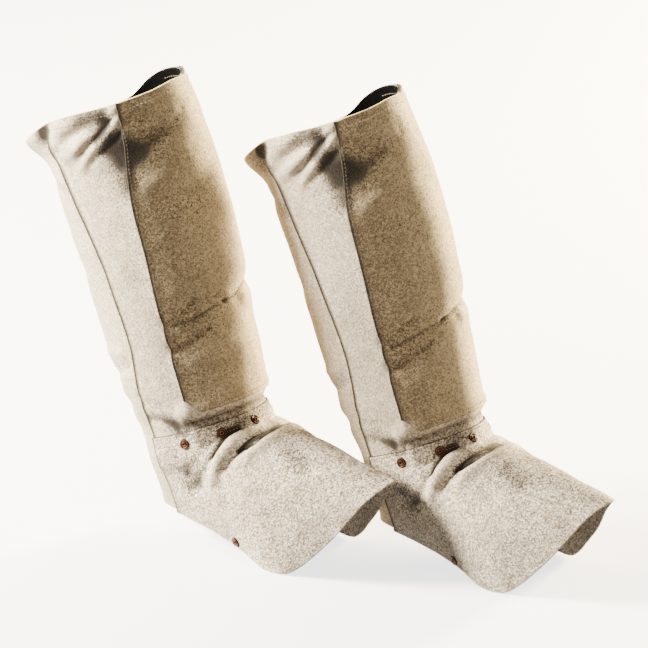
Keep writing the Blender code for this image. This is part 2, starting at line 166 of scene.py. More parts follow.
SECTIONS = rows_of(
    Section,
    (-0.020, -0.003, 0.0690, 0.0590), (0.000, -0.004, 0.0670, 0.0570),
    (0.040, -0.003, 0.0750, 0.0610), (0.100, 0.000, 0.0795, 0.0640), (0.200, 0.008, 0.0860, 0.0690),
    (0.300, 0.007, 0.0860, 0.0690), (0.345, 0.005, 0.0830, 0.0660),
)
RIM = rows_of(
    RimPoint,
    (-150, 0.317), (-120, 0.320), (-108, 0.3235), (-95, 0.336), (-85, 0.342), (-78, 0.344),
    (-60, 0.345), (-45, 0.345), (-20, 0.341), (0, 0.342), (30, 0.340), (70, 0.339), (92, 0.338),
    (108, 0.335), (130, 0.325), (150, 0.316), (180, 0.321),
)
HEM = rows_of(
    CoverPoint,
    (-150, -0.012, -0.012, 0.016), (-125, 0.008, -0.032, 0.019), (-110, 0.040, -0.042, 0.021),
    (-98, 0.075, -0.045, 0.016), (-85, 0.106, -0.047, 0.009), (-79, 0.131, -0.048, 0.005),
    (-72, 0.156, -0.047, 0.001), (-65, 0.178, -0.042, 0.001), (-56, 0.194, -0.036, 0.010),
    (-47, 0.209, -0.030, 0.027), (-36, 0.226, -0.024, 0.048), (-25, 0.238, -0.018, 0.068),
    (-13, 0.250, -0.011, 0.082), (0, 0.260, 0.000, 0.090), (13, 0.254, 0.028, 0.083),
    (25, 0.245, 0.041, 0.070), (36, 0.233, 0.055, 0.050), (47, 0.215, 0.064, 0.028),
    (56, 0.196, 0.071, 0.009), (65, 0.179, 0.076, 0.000), (72, 0.156, 0.075, 0.000),
    (79, 0.131, 0.067, 0.007), (85, 0.106, 0.059, 0.012), (91, 0.080, 0.054, 0.017),
    (99, 0.052, 0.047, 0.019), (110, 0.026, 0.040, 0.020), (122, 0.006, 0.032, 0.019),
    (136, -0.008, 0.021, 0.017), (158, -0.014, 0.007, 0.016), (180, -0.015, 0.000, 0.016),
)
UPPER_PULLS = rows_of(
    CoverPoint,
    (-150, -0.014, -0.028, 0.052), (-120, 0.014, -0.050, 0.060), (-90, 0.056, -0.056, 0.068),
    (-60, 0.098, -0.056, 0.090), (-30, 0.130, -0.032, 0.109), (0, 0.140, 0.000, 0.119),
    (30, 0.132, 0.041, 0.110), (60, 0.096, 0.064, 0.086), (90, 0.052, 0.062, 0.066),
    (120, 0.006, 0.046, 0.058), (150, -0.020, 0.024, 0.050), (180, -0.025, 0.000, 0.048),
)
LOWER_PULLS = rows_of(
    CoverPoint,
    (-150, -0.007, -0.018, 0.035), (-120, 0.024, -0.042, 0.036), (-90, 0.086, -0.052, 0.036),
    (-60, 0.163, -0.040, 0.064), (-30, 0.197, -0.028, 0.093), (0, 0.200, 0.000, 0.104),
    (30, 0.200, 0.046, 0.094), (60, 0.163, 0.072, 0.060), (90, 0.078, 0.060, 0.034),
    (120, 0.010, 0.038, 0.034), (150, -0.013, 0.016, 0.031), (180, -0.018, 0.000, 0.030),
)
FLAP_DRIFT = rows_of(
    Drift,
    (-0.020, 0.5), (0.000, 0.0), (0.040, -3.5), (0.100, -11.5), (0.165, -8.0), (0.265, 2.0),
    (0.345, 8.0),
)
PANEL_DRIFT = rows_of(
    Drift,
    (-0.020, 0.0), (0.200, 0.0), (0.235, -1.0), (0.265, -4.0), (0.300, -9.0), (0.345, -14.0),
)

# The folds that the solids have too.
LEG_FOLDS = rows_of(
    LegFold,
    (-60, 0.124, 40, 0.127, 0.0065, -0.0022),
    (40, 0.127, 64, 0.112, 0.0065, -0.0020),
    (-45, 0.146, 48, 0.143, 0.0100, 0.0012),
    (-40, 0.108, 20, 0.108, 0.0080, 0.0014),
    (-2, 0.110, 62, 0.086, 0.0080, -0.0025),
    (-80, 0.019, 70, 0.018, 0.0090, 0.0042),
    (66, 0.336, 102, 0.300, 0.0080, 0.0036),
    (74, 0.326, 95, 0.318, 0.0080, -0.0040),
    (89, 0.334, 112, 0.306, 0.0070, 0.0040),
    (52, 0.292, 67, 0.276, 0.0180, -0.0018),
    (112, 0.330, 122, 0.312, 0.0080, -0.0040),
    (-15, 0.268, 50, 0.246, 0.0120, 0.0014),
    (-20, 0.232, 40, 0.222, 0.0140, -0.0012),
    (-130, 0.150, -80, 0.118, 0.0090, -0.0035),
    (-150, 0.060, -100, 0.042, 0.0090, -0.0030),
    (150, 0.062, 205, 0.066, 0.0090, -0.0035),
    (140, 0.036, 190, 0.030, 0.0090, -0.0030),
    (-120, 0.262, -82, 0.286, 0.0120, -0.0040),
)
# Finer folds that only the cloth here has.
FINE_LEG_FOLDS = rows_of(
    LegFold,
    (63, 0.338, 95, 0.302, 0.0034, 0.0026, Form.CRISP),
    (64, 0.325, 91, 0.286, 0.0034, 0.0030, Form.CRISP),
    (70, 0.326, 90, 0.300, 0.0040, -0.0022),
    (66, 0.309, 86, 0.288, 0.0045, -0.0018),
    (70, 0.333, 79, 0.321, 0.0060, -0.0025),
    (99, 0.330, 108, 0.318, 0.0060, 0.0015),
    (-32, 0.1245, 14, 0.1150, 0.0026, -0.0032, Form.CRISP),
    (14, 0.1150, 58, 0.1065, 0.0028, -0.0024, Form.CRISP),
    (-10, 0.1100, 26, 0.0967, 0.0045, 0.0012),
    (26, 0.0967, 60, 0.0826, 0.0040, -0.0012),
    (20, 0.078, 52, 0.064, 0.0060, 0.0010),
    (-13, 0.264, 26, 0.262, 0.0080, -0.0016),
    (26, 0.262, 52, 0.250, 0.0070, 0.0014),
    (7, 0.310, 39, 0.296, 0.0090, -0.0014),
    (-9, 0.292, 22, 0.282, 0.0080, 0.0012),
    (-84, 0.0085, 66, 0.0080, 0.0026, -0.0020, Form.CRISP),
    (78, 0.008, 104, 0.020, 0.0045, -0.0018),
    (72, 0.003, 96, 0.012, 0.0040, 0.0014),
    (88, 0.030, 112, 0.044, 0.0060, -0.0013),
    (118, 0.262, 150, 0.272, 0.0070, -0.0022),
    (118, 0.078, 150, 0.070, 0.0060, -0.0020),
    (124, 0.092, 160, 0.088, 0.0055, 0.0016),
    (150, 0.180, 200, 0.190, 0.0120, -0.0016),
    (170, 0.128, 230, 0.116, 0.0080, -0.0018),
    (180, 0.050, 236, 0.046, 0.0045, -0.0016),
    (160, 0.022, 214, 0.016, 0.0045, 0.0016),
    (-100, 0.240, -62, 0.252, 0.0070, 0.0014),
    (-96, 0.214, -44, 0.222, 0.0080, -0.0012),
    (-92, 0.092, -50, 0.078, 0.0070, -0.0014),
    (-88, 0.040, -40, 0.034, 0.0060, 0.0012),
)
FOOT_FOLDS = rows_of(
    FootFold,
    (((0.102, 0.010, 0.119), (0.095, 0.034, 0.114), (0.090, 0.057, 0.099), (0.086, 0.067, 0.074)),
      0.0060, 0.0034),
    (((0.086, 0.046, 0.105), (0.082, 0.055, 0.095), (0.079, 0.062, 0.084)), 0.0045, -0.0022),
    (((0.128, -0.030, 0.116), (0.130, 0.006, 0.120), (0.124, 0.041, 0.111), (0.114, 0.054, 0.098)),
      0.0065, 0.0030),
    (((0.112, -0.030, 0.110), (0.113, 0.010, 0.114), (0.107, 0.044, 0.103), (0.097, 0.057, 0.088)),
      0.0055, -0.0050),
    (((0.025, 0.045, 0.088), (0.046, 0.057, 0.076), (0.065, 0.060, 0.065)), 0.0110, -0.0040),
    (((0.090, -0.042, 0.104), (0.080, -0.055, 0.080)), 0.0070, -0.0040),
    (((0.020, -0.050, 0.082), (0.060, -0.058, 0.066)), 0.0100, -0.0035),
)
FINE_FOOT_FOLDS = rows_of(
    FootFold,
    (((0.098, 0.024, 0.116), (0.095, 0.034, 0.114), (0.091, 0.046, 0.108), (0.090, 0.057, 0.099),
      (0.089, 0.064, 0.088), (0.086, 0.068, 0.074)), 0.0026, 0.0014, Form.STEP, (1.0, 0.0, -0.3)),
    (((0.094, 0.022, 0.118), (0.088, 0.036, 0.114), (0.085, 0.048, 0.107), (0.084, 0.057, 0.097)),
      0.0022, -0.0034),
    (((0.126, -0.012, 0.118), (0.130, 0.006, 0.120), (0.130, 0.018, 0.119), (0.128, 0.031, 0.116),
      (0.124, 0.041, 0.111), (0.118, 0.050, 0.103)), 0.0024, 0.0020, Form.STEP, (1.0, 0.0, -0.3),
      (-0.0010, 0.0, 0.0006)),
    (((0.121, -0.016, 0.115), (0.122, 0.004, 0.118), (0.121, 0.022, 0.116), (0.119, 0.033, 0.113),
      (0.114, 0.044, 0.107)), 0.0026, -0.0045),
    (((0.016, 0.058, 0.089), (0.048, 0.064, 0.076)), 0.0038, 0.0016),
    (((0.070, 0.065, 0.076), (0.064, 0.064, 0.064), (0.055, 0.061, 0.056)), 0.0060, -0.0024),
    (((0.155, 0.030, 0.108), (0.178, 0.036, 0.100)), 0.0090, -0.0014),
    (((0.120, 0.066, 0.080), (0.145, 0.072, 0.062)), 0.0120, 0.0012),
    (((0.092, 0.068, 0.060), (0.090, 0.066, 0.036)), 0.0070, 0.0012),
    (((0.150, -0.026, 0.106), (0.190, -0.034, 0.080)), 0.0100, -0.0016),
    (((0.105, -0.050, 0.070), (0.120, -0.052, 0.040)), 0.0080, 0.0014),
    (((0.066, -0.056, 0.070), (0.100, -0.050, 0.088)), 0.0050, 0.0018),
)
# Painted shade: dark patches in the hollows, creases and gaps where shade falls, with no relief of their
# own.
LEG_PAINTED_SHADE = rows_of(
    LegFold,
    (71, 0.308, 54, 0.283, 0.0125, -0.0066),
    (64, 0.290, 66, 0.256, 0.0105, -0.0054),
    (90, 0.334, 75, 0.335, 0.0070, -0.0066),
    (74, 0.327, 80, 0.312, 0.0055, -0.0056),
    (79, 0.303, 70, 0.282, 0.0080, -0.0036),
    (112, 0.325, 106, 0.310, 0.0080, -0.0078),
    (66, 0.262, 68, 0.120, 0.0060, -0.0016),
    (30, 0.300, 52, 0.284, 0.0100, -0.0030),
    (-30, 0.011, 76, 0.010, 0.0110, -0.0060),
    (98, 0.022, 78, 0.008, 0.0080, -0.0040),
    (72, 0.320, 74, 0.296, 0.0060, -0.0030),
    (-32, 0.1240, 14, 0.1145, 0.0024, -0.0030),
    (14, 0.1145, 58, 0.1060, 0.0024, -0.0022),
    (118, 0.332, 121, 0.318, 0.0040, -0.0080),
)
# Painted shade on the foot cover: behind the lip, beside the ridge and in the hollows between folds.
FOOT_PAINTED_SHADE = rows_of(
    FootFold,
    (((0.112, -0.014, 0.116), (0.110, 0.012, 0.115), (0.109, 0.030, 0.112), (0.108, 0.049, 0.105)),
      0.0070, -0.0046),
    (((0.115, -0.014, 0.116), (0.115, 0.006, 0.117), (0.113, 0.024, 0.114), (0.110, 0.035, 0.110),
      (0.105, 0.046, 0.104)), 0.0036, -0.0130),
    (((0.088, 0.026, 0.118), (0.084, 0.034, 0.116), (0.081, 0.047, 0.109), (0.081, 0.057, 0.099)),
      0.0028, -0.0086),
    (((0.150, -0.012, 0.114), (0.200, -0.006, 0.108), (0.245, 0.002, 0.096)), 0.0220, -0.0046),
    (((0.140, 0.024, 0.112), (0.172, 0.036, 0.104)), 0.0180, -0.0034),
    (((0.090, 0.024, 0.125), (0.085, 0.036, 0.120), (0.069, 0.055, 0.103)), 0.0060, -0.0028),
    (((0.062, 0.062, 0.092), (0.047, 0.059, 0.076)), 0.0075, -0.0050),
    (((0.026, 0.061, 0.120), (0.046, 0.059, 0.115)), 0.0070, -0.0024),
    (((0.092, -0.030, 0.126), (0.092, 0.010, 0.126), (0.080, 0.040, 0.116)), 0.0070, -0.0040),
)


def world_direction(direction: np.ndarray) -> np.ndarray:
    """A direction in the model's frame.

    Args:
        direction: Forward, side and up along the last axis.

    Returns:
        The same direction along the frame's X, Y and Z.
    """
    forward, side, up = np.moveaxis(np.asarray(direction, float), -1, 0)
    return np.stack((-side, -forward, up), axis=-1)


def world(place: np.ndarray) -> np.ndarray:
    """A place in the model's frame, whose origin is inside the right ankle.

    Args:
        place: Forward, side and up in metres along the last axis.

    Returns:
        The same place along the frame's X, Y and Z.
    """
    return world_direction(np.asarray(place, float) - ANKLE)


def smooth(keys: np.ndarray, values: np.ndarray, where: np.ndarray) -> np.ndarray:
    """The values on a smooth curve through a table's points.

    Args:
        keys: The table's rising keys.
        values: One value or row of values a key.
        where: The keys to read.

    Returns:
        A value or row of values for each of them.
    """
    keys = np.asarray(keys, float)
    values = np.asarray(values, float)
    slopes = np.gradient(values, keys, axis=0)
    first = np.clip(np.searchsorted(keys, where, side="right") - 1, 0, len(keys) - 2)
    span = keys[first + 1] - keys[first]
    share = np.clip((where - keys[first]) / span, 0.0, 1.0)
    if values.ndim > 1:
        share = share[..., None]
        span = span[..., None]
    before = values[first] * (1 + 2 * share) * (1 - share) ** 2
    after = values[first + 1] * (3 - 2 * share) * share**2
    turn = slopes[first] * share * (1 - share) ** 2 - slopes[first + 1] * (1 - share) * share**2
    return before + after + turn * span


def smooth_round(table: tuple, around: np.ndarray) -> np.ndarray:
    """As smooth, for a table that closes round the leg.

    Args:
        table: Rows that start with the degrees round the leg.
        around: The angles to read.

    Returns:
        A value or row of values for each angle.
    """
    rows = np.array(table, float)
    turned = np.tile(rows, (3, 1))
    turned[:, 0] += np.repeat((-360.0, 0.0, 360.0), len(rows))
    values = turned[:, 1:] if rows.shape[1] > 2 else turned[:, 1]
    return smooth(turned[:, 0], values, around)


def ease(share: np.ndarray) -> np.ndarray:
    """0 to 1 with no corner at either end.

    Args:
        share: Any number, held between 0 and 1.

    Returns:
        The eased share.
    """
    share = np.clip(share, 0.0, 1.0)
    return share * share * (3 - 2 * share)


def from_chain(points: np.ndarray, chain: tuple) -> np.ndarray:
    """How points lie from a chain of straight links.

    Args:
        points: Places along the last axis.
        chain: The places that the links join.

    Returns:
        The way to each point from the nearest place on the chain.
    """
    found, lengths = [], []
    for start, end in zip(chain, chain[1:]):
        start, end = np.asarray(start, float), np.asarray(end, float)
        line = end - start
        share = np.clip((points - start) @ line / (line @ line), 0.0, 1.0)
        found.append(points - start - share[..., None] * line)
        lengths.append(np.linalg.norm(found[-1], axis=-1))
    nearest = np.argmin(lengths, axis=0)[None, ..., None]
    return np.take_along_axis(np.array(found), nearest, axis=0)[0]


def lay_on(surface: np.ndarray, folds: tuple) -> tuple:
    """Foot folds whose chains lie on a surface.

    Args:
        surface: The surface's places.
        folds: The folds, with chains that may float off it.

    Returns:
        The folds, each chain's places moved to the nearest of the surface's.
    """
    points = surface.reshape(-1, 3)
    laid = []
    for fold in folds:
        ways = (points - np.array(place) for place in fold.places)
        nearest = tuple(points[np.argmin(np.linalg.norm(way, axis=1))] for way in ways)
        laid.append(fold._replace(places=nearest))
    return tuple(laid)


def falloff(ways: np.ndarray, width: float, form: Form, lean: tuple = ()) -> np.ndarray:
    """How much of a fold's relief is left away from its line.

    Args:
        ways: The way to each point from the line, in metres along the last axis.
        width: The fold's half width.
        form: Round, crisp with a narrow top, or a step.
        lean: The way to a step's slow side.

    Returns:
        Shares between 0 and 1.
    """
    blunt, slow = 0.0012, 6.0
    off = np.linalg.norm(ways, axis=-1)
    if form is Form.CRISP:
        return np.exp(-(np.sqrt(off**2 + blunt**2) - blunt) / width)
    if form is Form.STEP:
        width = np.where(ways @ np.array(lean) > 0.0, slow * width, width)
    return np.exp(-((off / width) ** 2))


def new_object(name: str, data: bpy.types.ID) -> bpy.types.Object:
    """Make an object and link it to the scene.

    Args:
        name: The object's name.
        data: Its mesh, light or camera.

    Returns:
        The object.
    """
    made = bpy.data.objects.new(name, data)
    bpy.context.scene.collection.objects.link(made)
    return made


def write_values(mesh: bpy.types.Mesh, label: str, values: np.ndarray, kind: str = "FLOAT") -> None:
    """Store a number or a vector for each point of a mesh.

    Args:
        mesh: The mesh.
        label: The attribute's name.
        values: One number or vector a point.
        kind: The attribute's type.
    """
    layer = mesh.attributes.new(label, kind, "POINT")
    field_name = "value" if kind == "FLOAT" else "vector"
    layer.data.foreach_set(field_name, np.asarray(values, np.float32).reshape(-1))


@dataclass
class SoftNoise:
    """A smooth random field in space, the same on every run."""

    seed: int
    cells: int = 24

    def __post_init__(self) -> None:
        """Draw the lattice once."""
        self.lattice = np.random.default_rng(self.seed).uniform(-1.0, 1.0, (self.cells,) * 3)

    def at(self, places: np.ndarray, size: float) -> np.ndarray:
        """Read the field.

        Args:
            places: Places along the last axis.
            size: The size of its lumps in metres.

        Returns:
            Values between -1 and 1.
        """
        scaled = np.asarray(places, float) / size
        low = np.floor(scaled).astype(int)
        share = ease(scaled - low)
        total = np.zeros(scaled.shape[:-1])
        for corner in product((0, 1), repeat=3):
            index = (low + corner) % self.cells
            weight = np.prod(np.where(np.array(corner) == 1, share, 1 - share), axis=-1)
            total += weight * self.lattice[index[..., 0], index[..., 1], index[..., 2]]
        return total


@dataclass
class LeggingForm:
    """The surface of one legging, before it is cut into sheets."""

    lap: float = 0.020
    panel_edge: float = 65.0
    flap_edge: float = 110.0
    edge_fold_height: float = 0.0040
    edge_fold_degrees: float = 9.0
    edge_fold_softening: float = 0.7
    soft_from: float = 0.26
    soft_span: float = 0.06
    flare: float = 0.016
    flare_centre: float = 146.0
    flare_degrees: float = 26.0
    flare_depth: float = 0.042
    round_per_degree: float = 0.00132

    def rim_height(self, around: np.ndarray) -> np.ndarray:
        """How far up the leg the rim is at each angle."""
        return smooth_round(RIM, around)

    def drifted(self, around: np.ndarray, height: np.ndarray) -> np.ndarray:
        """The angle that a column really has at a height, because two lines wander.

        Args:
            around: The columns' degrees.
            height: Heights above the cover's top edge.

        Returns:
            Degrees round the leg.
        """
        off_front = np.abs((around + 180.0) % 360.0 - 180.0)
        span = self.flap_edge - self.panel_edge
        panel = np.minimum(off_front / self.panel_edge, (self.flap_edge - off_front) / span)
        panel = np.clip(panel, 0.0, 1.0)
        falling = (180.0 - around) / (180.0 - self.flap_edge)
        flap = np.clip(np.minimum((around - self.panel_edge) / span, falling), 0.0, 1.0)
        turned = np.sign(around) * panel * self._drift(PANEL_DRIFT, height)
        return around + turned + flap * self._drift(FLAP_DRIFT, height)

    @staticmethod
    def _drift(table: tuple, height: np.ndarray) -> np.ndarray:
        """How far a line has wandered at each height, in degrees."""
        rows = np.array(table)
        return smooth(rows[:, 0], rows[:, 1], height)

    def leg_place(self, around: np.ndarray, height: np.ndarray) -> np.ndarray:
        """Places on the leg, before its folds.

        Args:
            around: Degrees round the leg.
            height: Metres up the leg.

        Returns:
            Forward, side and up of each place.
        """
        table = np.array(SECTIONS)
        shift, half_depth, half_width = (
            smooth(table[:, 0], table[:, column], height) for column in (1, 2, 3)
        )
        off_front = np.abs((around + 180.0) % 360.0 - 180.0)
        off_edge = np.abs(off_front - self.panel_edge)
        edge_fold = self.edge_fold_height * np.exp(-off_edge / self.edge_fold_degrees)
        softened = ease((height - self.soft_from) / self.soft_span)
        edge_fold = edge_fold * (1 - self.edge_fold_softening * softened)
        top = height - self.rim_height(around) + self.flare_depth
        flare = self.flare * ease(top / self.flare_depth) ** 2
        flare = flare * np.exp(-(((around % 360.0) - self.flare_centre) / self.flare_degrees) ** 2)
        turn = np.radians(self.drifted(around, height))
        depth = shift + (half_depth + edge_fold + flare) * np.cos(turn)
        width = (half_width + edge_fold + flare) * np.sin(turn)
        return (
            ANKLE
            + height[..., None] * UP_THE_LEG
            + depth[..., None] * TO_THE_FRONT
            + width[..., None] * TO_THE_SIDE
        )

    def foot_place(self, around: np.ndarray, share: np.ndarray) -> np.ndarray:
        """Places on the foot cover, before its folds.

        Args:
            around: Degrees round the leg.
            share: Shares of the way from the end of the lap to the hem.

        Returns:
            Forward, side and up of each place.
        """
        start = self.leg_place(around, np.full_like(share, -self.lap))
        upper = smooth_round(UPPER_PULLS, around)
        lower = smooth_round(LOWER_PULLS, around)
        hem = smooth_round(HEM, around)
        share = share[..., None]
        rest = 1 - share
        return (
            start * rest**3
            + upper * 3 * share * rest**2
            + lower * 3 * share**2 * rest
            + hem * share**3
        )

    def leg_relief(self, around: np.ndarray, height: np.ndarray, folds: tuple) -> np.ndarray:
        """How far folds push the leg's surface out.

        Args:
            around: Degrees round the leg.
            height: Metres up the leg.
            folds: The folds to add up.

        Returns:
            Metres out at each place.
        """
        total = np.zeros_like(height)
        for fold in folds:
            centre = (fold.around_1 + fold.around_2) / 2
            near = centre + (around - centre + 180.0) % 360.0 - 180.0
            points = np.stack((near * self.round_per_degree, height), axis=-1)
            chain = (
                (fold.around_1 * self.round_per_degree, fold.height_1),
                (fold.around_2 * self.round_per_degree, fold.height_2),
            )
            total += fold.relief * falloff(from_chain(points, chain), fold.width, fold.form, fold.lean)
        return total


@dataclass
class ClothGrid:
    """The fine grid of places and normals that every sheet of one legging is cut from."""

    seed: int
    move: tuple = (0.0, 0.0, 0.0)
    form: LeggingForm = field(default_factory=LeggingForm)
    column_step: float = 1.7
    row_step: float = 0.0025
    foot_row_count: int = 112
    panel_bottom: float = 0.055
    facing_bottom: float = 0.765
    corner_rise: float = 0.013
    corner_from: float = 54.0
    corner_beyond: float = 24.0
    corner_top_row: float = 0.28
    usual_height: float = 0.340
    wander: float = 0.0022
    wander_size: float = 0.028
    lumps: tuple = ((0.0009, 0.055), (0.0006, 0.024), (0.0002, 0.009))
    pull_spread: float = 1.6
    fine_share: float = 1.6
    lump_share: float = 0.8
    full_relief: float = 0.0060
    column_keys: tuple = (
        -180, -125, -123.4, -110, -85, -79, -65, -63.6, -62, 62, 63.6, 65, 79, 85, 88, 91,
        107, 108.6, 110, 180,
    )

    def __post_init__(self) -> None:
        """Lay out the columns and rows, and shape the surface."""
        self.turns = self._columns()
        shares, self.marks = self._leg_shares()
        rim = self.form.rim_height(self.turns)
        across = ease((np.abs(self.turns) - self.corner_from) / (self.form.panel_edge - self.corner_from))
        beyond = (self.form.panel_edge + self.corner_beyond - np.abs(self.turns)) / self.corner_beyond
        corner = self.corner_rise * across * ease(beyond)
        fade = ease((self.corner_top_row - shares) / (self.corner_top_row - self.panel_bottom))
        fade = np.where(shares < self.panel_bottom, shares / self.panel_bottom, fade)
        heights = shares[:, None] * rim + fade[:, None] * corner
        lap_rows = int(round(self.form.lap / self.row_step))
        drops = np.linspace(0.0, self.form.lap, lap_rows + 1)[1:]
        heights = np.concatenate((heights, -np.broadcast_to(drops[:, None], (lap_rows, len(rim)))))
        self.marks["lap end"] = len(heights) - 1
        self.foot_shares = np.linspace(0.0, 1.0, self.foot_row_count + 1)[1:]
        self.marks["hem"] = len(heights) - 1 + self.foot_row_count
        self._shape(heights)

    def _columns(self) -> np.ndarray:
        """Spread the columns between the keys.

        Returns:
            The columns' degrees, from -180 round to just short of 180.
        """
        found = []
        for low, high in zip(self.column_keys, self.column_keys[1:]):
            count = max(1, round((high - low) / self.column_step))
            found.extend(np.linspace(low, high, count, endpoint=False))
        return np.array(found)

    def _leg_shares(self) -> tuple[np.ndarray, dict]:
        """The leg's rows.

        Returns:
            Shares of the way up to the rim, and the rows where sheets end.
        """
        stops = (1.0, self.facing_bottom, self.panel_bottom, 0.0)
        found = []
        marks = {"rim": 0}
        for name, high, low in zip(("facing bottom", "panel bottom", "seam"), stops, stops[1:]):
            count = max(2, round((high - low) * self.usual_height / self.row_step))
            found.extend(np.linspace(high, low, count, endpoint=False))
            marks[name] = len(found)
        return np.array(found + [0.0]), marks

    def _shape(self, heights: np.ndarray) -> None:
        """Place the surface, fold it and keep its normals.

        Args:
            heights: The leg's rows by columns, in metres up the leg.
        """
        noise = SoftNoise(self.seed)
        turns = np.broadcast_to(self.turns, heights.shape)
        leg = self.form.leg_place(turns, heights)
        shares = self.foot_shares[:, None] * np.ones_like(self.turns)
        foot = self.form.foot_place(np.broadcast_to(self.turns, shares.shape), shares)
        base = np.concatenate((leg, foot))
        waver = [noise.at(base + 7.0 * axis, self.wander_size) for axis in range(3)]
        waver = np.stack(waver, axis=-1)
        strayed = base + waver * self.wander
        aside = turns + waver[: len(leg), :, 0] * self.wander / self.form.round_per_degree
        along = heights + waver[: len(leg), :, 2] * self.wander

        broad = self._foot_relief(base, FOOT_FOLDS)
        broad[: len(leg)] += self.form.leg_relief(turns, heights, LEG_FOLDS)
        fine = self._foot_relief(strayed, lay_on(strayed, FINE_FOOT_FOLDS))
        fine[: len(leg)] += self.form.leg_relief(aside, along, FINE_LEG_FOLDS)
        lumps = sum(rise * noise.at(base, size) for rise, size in self.lumps)
        normals = self._normals(base)
        self.places = base + normals * (broad + fine + lumps)[..., None] + self._leaning(strayed)
        self.places = self.places + np.array(self.move)
        self.normals = self._softened(self._normals(self.places))
        # Painted shade: the hollow share darkens the nap where the surface dips and under the painted shade
        # marks.
        relief = broad + self.fine_share * fine + self.lump_share * lumps
        relief += self._foot_relief(strayed, lay_on(strayed, FOOT_PAINTED_SHADE))
        relief[: len(leg)] += self.form.leg_relief(aside, along, LEG_PAINTED_SHADE)
        self.hollow = np.clip(-relief / self.full_relief, 0.0, 2.0)
        self.ridge_share = np.clip(relief / self.full_relief, 0.0, 1.0)

    @staticmethod
    def _foot_relief(places: np.ndarray, folds: tuple) -> np.ndarray:
        """How far the foot cover's folds push its surface out.

        Args:
            places: The places to read.
            folds: The folds to add up.

        Returns:
            Metres out at each place.
        """
        total = np.zeros(places.shape[:-1])
        for fold in folds:
            ways = from_chain(places, fold.places)
            total += fold.relief * falloff(ways, fold.width, fold.form, fold.lean)
        return total

    def _leaning(self, places: np.ndarray) -> np.ndarray:
        """Find how far the folds that hang over pull their surface sideways.

        Args:
            places: Places on the surface.

        Returns:
            The pull at each place, in metres.
        """
        total = np.zeros(places.shape)
        for fold in lay_on(places, FINE_FOOT_FOLDS):
            if any(fold.pull):
                ways = from_chain(places, fold.places)
                near = falloff(ways, self.pull_spread * fold.width, Form.ROUND)
                total += near[..., None] * np.array(fold.pull)
        return total

    @staticmethod
    def _normals(places: np.ndarray) -> np.ndarray:
        """Find the normals of a grid whose columns close round the leg and whose rows run down.

        Args:
            places: The grid's places.

        Returns:
            Unit normals, outward.
        """
        along = np.gradient(places, axis=0)
        across = np.roll(places, -1, axis=1) - np.roll(places, 1, axis=1)
        normals = np.cross(along, across)
        return normals / np.linalg.norm(normals, axis=-1, keepdims=True)

    @staticmethod
    def _softened(normals: np.ndarray) -> np.ndarray:
        """Even the normals out over their neighbours, so that layers stay apart in a crease.

        Args:
            normals: The grid's normals.

        Returns:
            Unit normals, more alike.
        """
        for _ in range(2):
            beside = np.roll(normals, 1, axis=1) + np.roll(normals, -1, axis=1)
            padded = np.pad(normals, ((1, 1), (0, 0), (0, 0)), mode="edge")
            normals = 2 * normals + beside + padded[:-2] + padded[2:]
            normals = normals / np.linalg.norm(normals, axis=-1, keepdims=True)
        return normals

    def column(self, degrees: float) -> int:
        """The index of the column nearest to an angle."""
        off = np.abs((self.turns - degrees + 180.0) % 360.0 - 180.0)
        return int(np.argmin(off))

    def column_range(self, first: float, last: float) -> list[int]:
        """The columns met going round toward the wearer's right.

        Args:
            first: The first column's degrees.
            last: The last column's degrees.

        Returns:
            Their indices, in order.
        """
        index, end = self.column(first), self.column(last)
        found = [index]
        while index != end:
            index = (index + 1) % len(self.turns)
            found.append(index)
        return found

    def row_range(self, first: str, last: str) -> list[int]:
        """The rows from one mark down to another."""
        return list(range(self.marks[first], self.marks[last] + 1))

    def foot_row(self, share: float) -> float:
        """The row, maybe between two, at a share of the way from the lap to the hem."""
        return self.marks["lap end"] + share * self.foot_row_count

    def leg_row(self, around: float, height: float) -> float:
        """The row, maybe between two, at a height on the leg.

        Args:
            around: Degrees round the leg.
            height: Metres along the leg above the cover's top edge, or below it when negative.

        Returns:
            The row.
        """
        if height <= 0:
            return self.marks["seam"] - height / self.row_step
        shares, _ = self._leg_shares()
        share = height / float(self.form.rim_height(np.array(around)))
        return float(np.interp(-share, -shares, np.arange(len(shares))))

    def at(self, around: float, row: float) -> tuple[np.ndarray, np.ndarray]:
        """The place and outward normal at an angle and a row.

        Args:
            around: Degrees round the leg.
            row: A row, maybe between two.

        Returns:
            The place and the normal.
        """
        above = min(int(row), len(self.places) - 2)
        share = row - above
        left = int(np.searchsorted(self.turns, around, side="right") - 1)
        right = (left + 1) % len(self.turns)
        span = (self.turns[right] - self.turns[left]) % 360.0
        aside = (around - self.turns[left]) / span
        found = []
        for values in (self.places, self.normals):
            line = values[above] * (1 - share) + values[above + 1] * share
            found.append(line[left] * (1 - aside) + line[right] * aside)
        return found[0], found[1] / np.linalg.norm(found[1])


